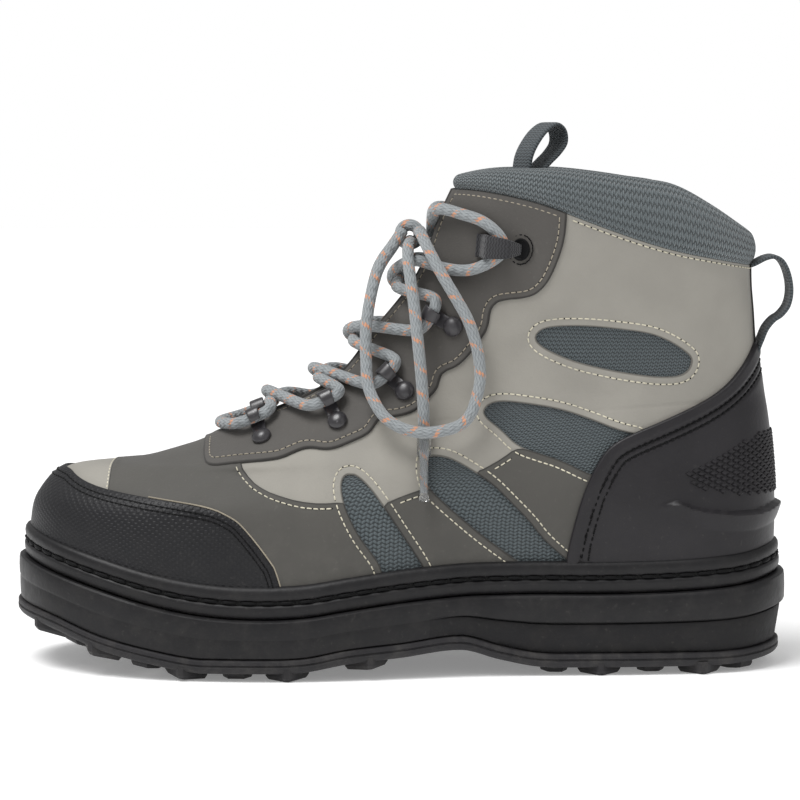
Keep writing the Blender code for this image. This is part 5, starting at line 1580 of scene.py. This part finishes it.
turn = np.radians(np.linspace(-90, 168, 19))
middle_radius = RING_HOLE + HOOK_WALL / 2
ring_x = HOOK_REACH + np.cos(turn) * middle_radius
ring_z = RING_RADIUS + HOOK_WALL * 0.1 + np.sin(turn) * middle_radius
hood = np.stack((ring_x, ring_x * 0, ring_z), -1)
hood = np.vstack((HOOK_SHANK, hood))
widths = np.interp(np.arange(len(hood)), (0, 3, 12, 21), (0.0052, HOOK_WIDTH, HOOK_WIDTH, 0.0042))
hood_shape = strap(hood, np.array((0.0, 1.0, 0.0)), widths, HOOK_WALL)
disc_shape = lathe(HOOK_DISC, np.zeros(3), np.array((0.0, 0.0, 1.0)))
hook_mesh = pattern(gather([(hood_shape, 0), (disc_shape, 0)]))
for number in range(len(HOOKS)):
    for name, side in (("outer", 1), ("inner", -1)):
        spot, along, across, out = hook_frame(number, side)
        hook = [(hook_mesh, spot, along, out)]
        made = scatter(f"hook_{name}_{number + 1}", hook, hook_metal, 35.0)
        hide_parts(f"lace_hook_{name}_{number + 1}")

# Keepers: share of the strap's length, and share of the lace's diameter
KEEPER = (
    (0.00, 0.20), (0.12, 0.24), (0.22, 0.70), (0.32, 1.40),
    (0.42, 1.70), (0.86, 1.70), (0.97, 1.10), (1.05, 0.30),
)
KEEPER_WIDTH = 0.0100
KEEPER_LACE = 0.74
KEEPER_THICK = 0.0013
# Levels and angles of its foot, its middle and its tip, then its slot's half sizes
KEEPER_FOOT = (9.65, 47.4)
KEEPER_MIDDLE = (9.68, 56.0)
KEEPER_TIP = (9.70, 64.0)
SLOT_LONG = 0.0034
SLOT_WIDE = 0.0040


def keeper_frame(side):
    """A keeper's spot, its ways along and out, and its reach."""
    spot, tip = (surface(level, side * angle, HOOK_SEAT) for level, angle in (KEEPER_FOOT, KEEPER_TIP))
    along = tip - spot
    out = outward(KEEPER_MIDDLE[0], side * KEEPER_MIDDLE[1])
    reach = np.linalg.norm(along)
    return spot, unit(along - out * (along @ out)), out, reach


for name, side in (("outer", 1), ("inner", -1)):
    spot, along, out, reach = keeper_frame(side)
    table = np.array(KEEPER)
    path = smooth_route(spot + along * table[:, :1] * reach + out * table[:, 1:] * LACE_DIAMETER, 0.0006)
    share = np.linspace(0, 1, len(path))
    width = KEEPER_WIDTH * np.interp(share, (0, 0.35, 0.7, 1.0), (0.95, 1.0, 0.82, 0.42))
    aside = unit(np.cross(out, along))
    shape = strap(path, aside, width, KEEPER_THICK)
    made = add_piece(f"keeper_{name}", shape, black_webbing, 40.0)
    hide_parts(f"lace_keeper_{name}")
    turn = np.linspace(0, 2 * np.pi, 49)
    slot_spot = spot + along * reach * 1.03 - out * 0.0002
    ring = along * np.cos(turn)[:, None] * SLOT_LONG + aside * np.sin(turn)[:, None] * SLOT_WIDE
    # Painted shade: a flat black disc that stands for the shade inside the slot.
    slot_shade_disc = lathe(((0.0, 0.0), (SLOT_LONG, 0.0), (SLOT_LONG, 0.0003), (0.0, 0.0003)), slot_spot, out)
    slot_shape = gather([(bar(slot_spot + ring, 0.0006, 8), 0), (slot_shade_disc, 0)])
    add_piece(f"keeper_slot_{name}", slot_shape, black_thread)
    round_slot = [(slot_spot + ring * 1.5, np.broadcast_to(out, ring.shape))]
    sew(f"keeper_stitches_{name}", round_slot, 0.0021, 0.7, 0.00028, black_thread, 0.0002)

# The lace: where strands cross over the throat, as level and height, and its way round the keepers
CROSSINGS = ((6.40, 0.0075), (6.98, 0.0065), (7.88, 0.0050))
LACE_LEAD = 0.0036
EDGE_SHARE = 0.75
EDGE_ANGLE = 17.0
EDGE_LIFT = 0.0066
LACE_SEAT = HOOK_SEAT + LACE_DIAMETER / 2 + FIT
LACE_PASS = 0.0024
KEEPER_TURN = (
    (9.26, 20.0, 0.0018), (9.20, 36.0, 0.0003), (9.24, 50.0, 0.0003),
    (10.10, 50.0, 0.0003), (10.20, 38.0, 0.0003), (10.26, 24.0, 0.0022),
)
KNOT = np.array((0.0036, 0.0, 0.1785))
KNOT_TURN = 0.0040


def ring_end(number, side, upwards):
    """The lace's centre where it leaves a hook's ring, and the way that it leaves."""
    spot, along, across, out = hook_frame(number, side)
    way = across if upwards else -across
    centre = spot + along * HOOK_REACH + out * (RING_RADIUS + HOOK_WALL * 0.1)
    return centre + way * (HOOK_WIDTH / 2 + 2 * FIT), way


def half_lace(first):
    """The lace from the lowest hook on one side up to the knot."""
    route = []
    side = first
    for number, (level, lift) in enumerate(CROSSINGS):
        low, way_in = ring_end(number, side, False)
        high, way_out = ring_end(number, side, True)
        start_level = mix(HOOKS[number][2], level, EDGE_SHARE)
        stop_level = mix(HOOKS[number + 1][2], level, EDGE_SHARE)
        over = first * (1 if number % 2 else -1) * LACE_PASS
        route += [low, (low + high) / 2, high, high + way_out * LACE_LEAD]
        route += [surface(start_level, side * EDGE_ANGLE, EDGE_LIFT), surface(level, 0.0, lift + over)]
        side = -side
        low, way_in = ring_end(number + 1, side, False)
        route += [surface(stop_level, side * EDGE_ANGLE, EDGE_LIFT), low + way_in * LACE_LEAD]
    high, way_out = ring_end(3, side, True)
    route += [low, (low + high) / 2, high, high + way_out * LACE_LEAD]
    route.append(surface(8.72, side * EDGE_ANGLE, EDGE_LIFT))
    route.append(surface(8.95, 0.0, 0.0052 + first * LACE_PASS))
    spot, along, out, reach = keeper_frame(-side)
    turns = [surface(level, -side * angle, LACE_SEAT + lift) for level, angle, lift in KEEPER_TURN]
    route += turns[:3]
    route.append(spot + along * reach * KEEPER_LACE + out * (LACE_DIAMETER / 2 + FIT * 0.5))
    route += turns[3:]
    route.append(KNOT + (0.0092, side * 0.0028, 0.0008))
    return route


bar_ends = []
for side in (1, -1):
    low, way = ring_end(0, side, False)
    bar_ends.append(low + way * LACE_LEAD)
route = half_lace(1)[::-1] + [bar_ends[0], surface(5.72, 0.0, 0.0048), bar_ends[1]] + half_lace(-1)
path = smooth_route(route, 0.0010)
rings = np.array([
    sum(ring_end(number, side, up)[0] for up in (True, False)) / 2
    for number in range(len(HOOKS))
    for side in (1, -1)
])
free = ease((np.linalg.norm(path[:, None] - rings, axis=2).min(1) - 0.0022) / 0.0030)[1:-1, None]
for _ in range(26):
    path[1:-1] += free * 0.25 * (path[:-2] + path[2:] - 2 * path[1:-1])
shape = bar(path, LACE_DIAMETER / 2, 16)
made = add_piece("lace_run", shape, lace_braid, 60.0)
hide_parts("lace_bar", "lace_crossing_1", "lace_crossing_2", "lace_crossing_3", "lace_crossing_4")

# The free lace: the bow and the hanging end on the outer side, and the aglet's tip
BOW_ROUTE = (
    (0.0006, -0.0048, 0.1800), (-0.0037, -0.0105, 0.1735), (-0.0078, -0.0145, 0.1677),
    (-0.0102, -0.0185, 0.1625), (-0.0127, -0.0245, 0.1525), (-0.0143, -0.0290, 0.1405),
    (-0.0142, -0.0320, 0.1285), (-0.0134, -0.0355, 0.1185), (-0.0105, -0.0395, 0.1115),
    (-0.0065, -0.0425, 0.1060), (-0.0004, -0.0450, 0.1021), (0.0077, -0.0464, 0.1002),
    (0.0158, -0.0468, 0.1007), (0.0238, -0.0460, 0.1031), (0.0279, -0.0448, 0.1071),
    (0.0303, -0.0435, 0.1131), (0.0320, -0.0420, 0.1210), (0.0316, -0.0412, 0.1291),
    (0.0299, -0.0408, 0.1372), (0.0271, -0.0402, 0.1452), (0.0227, -0.0385, 0.1532),
    (0.0179, -0.0360, 0.1612), (0.0139, -0.0325, 0.1683), (0.0106, -0.0275, 0.1745),
    (0.0084, -0.0180, 0.1790), (0.0074, -0.0050, 0.1800),
)
END_ROUTE = (
    (0.0038, -0.0054, 0.1758), (0.0030, -0.0165, 0.1740), (0.0029, -0.0232, 0.1697),
    (0.0037, -0.0292, 0.1625), (0.0052, -0.0345, 0.1520), (0.0066, -0.0385, 0.1390),
    (0.0080, -0.0402, 0.1250), (0.0090, -0.0404, 0.1115), (0.0093, -0.0406, 0.1005),
)
AGLET_TIP = (0.0093, -0.0490, 0.0728)
# The aglet's radii at shares of its length, and the radius of the cord inside it
AGLET_SHARES = (0.0, 0.02, 0.10, 0.34, 0.38, 0.44, 0.70, 0.90, 0.97, 1.0)
AGLET_RADII = (0.0026, 0.0029, 0.0029, 0.0028, 0.0022, 0.0018, 0.0017, 0.0017, 0.0021, 0.0022)
AGLET_CORE = 0.0013


def free_cord(name, node, route):
    """A free stretch of lace as a tube."""
    path = smooth_route(route, 0.0012)
    made = add_piece(name, bar(path, LACE_DIAMETER / 2, 16), lace_braid, 60.0)
    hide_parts(node)
    length = float(lengths_along(path)[-1])
    return made


turn = np.radians(np.linspace(20, 500, 60))
across = np.linspace(-0.0034, 0.0034, 60)
wrap = KNOT + np.stack((np.cos(turn) * KNOT_TURN, across, np.sin(turn) * KNOT_TURN), -1)
knot = add_piece("knot_wrap", bar(wrap, LACE_DIAMETER / 2, 16), lace_braid, 60.0)
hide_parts("lace_knot")

for name, side in (("outer", 1.0), ("inner", -1.0)):
    flip = np.array((1.0, side, 1.0))
    free_cord(f"bow_{name}", f"lace_bow_{name}", np.array(BOW_ROUTE) * flip)
    top, tip = np.array(END_ROUTE[-1]) * flip, np.array(AGLET_TIP) * flip
    way = tip - top
    shape = bar(top + way * np.array(AGLET_SHARES)[:, None], np.array(AGLET_RADII), 20)
    aglet = add_piece(f"clear_aglet_{name}", shape, clear, 40.0)
    shape = bar(top + way * np.linspace(0.01, 0.90, 12)[:, None], AGLET_CORE, 12)
    core = add_piece(f"aglet_core_{name}", shape, lace_braid, 60.0)
    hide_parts(f"aglet_{name}")
    free_cord(f"end_{name}", f"lace_end_{name}", np.array(END_ROUTE) * flip)

# Floor, backdrop and lights, as strengths
FLOOR_HALF = 6.0
FLOOR_GLOW = 0.22
WORLD_LIGHT = 0.44
WORLD_SEEN = 1.0
paper, tree, shader, place, _ = start("studio_paper", 0.85, Specular_IOR_Level=0.2)
grain = use(tree, grain_tree, Place=place, Scale=40.0)
white = tint(tree, grain["Height"], (0.86, 0.86, 0.86, 1.0), (0.88, 0.88, 0.88, 1.0))
tree.links.new(white, shader.inputs["Base Color"])
shape = bmesh.new()
bmesh.ops.create_grid(shape, x_segments=1, y_segments=1, size=FLOOR_HALF)
floor_mesh = bpy.data.meshes.new("floor")
shape.to_mesh(floor_mesh)
shape.free()
floor_mesh.materials.append(paper)
shader.inputs["Emission Color"].default_value = (1.0, 1.0, 1.0, 1.0)
shader.inputs["Emission Strength"].default_value = FLOOR_GLOW
floor = bpy.data.objects.new("floor", floor_mesh)
bpy.context.collection.objects.link(floor)

world = bpy.data.worlds.new("studio")
world.use_nodes = True
tree = world.node_tree
background = tree.nodes["Background"]
background.inputs["Color"].default_value = (1.0, 1.0, 1.0, 1.0)
seen = add(tree, "ShaderNodeLightPath").outputs["Is Camera Ray"]
tree.links.new(between(tree, seen, 0.0, 1.0, WORLD_LIGHT, WORLD_SEEN), background.inputs["Strength"])
bpy.context.scene.world = world
LIGHTS = (
    # name, kind, place, size in metres or sun angle in degrees, strength
    ("key_light", "AREA", (-0.8, -0.9, 1.6), 1.0, 9.5),
    ("fill_light", "AREA", (1.2, -1.0, 0.9), 1.4, 2.6),
    ("top_light", "SUN", (-0.30, -0.22, 1.0), 30.0, 2.1),
)
for name, kind, place, size, power in LIGHTS:
    lamp = bpy.data.lights.new(name, kind)
    if kind == "SUN":
        lamp.angle = math.radians(size)
    else:
        lamp.size = size
    lamp.energy = power
    made = bpy.data.objects.new(name, lamp)
    made.location = place
    made.rotation_euler = (Vector((0, 0, 0.08)) - Vector(place)).to_track_quat("-Z", "Y").to_euler()
    bpy.context.collection.objects.link(made)
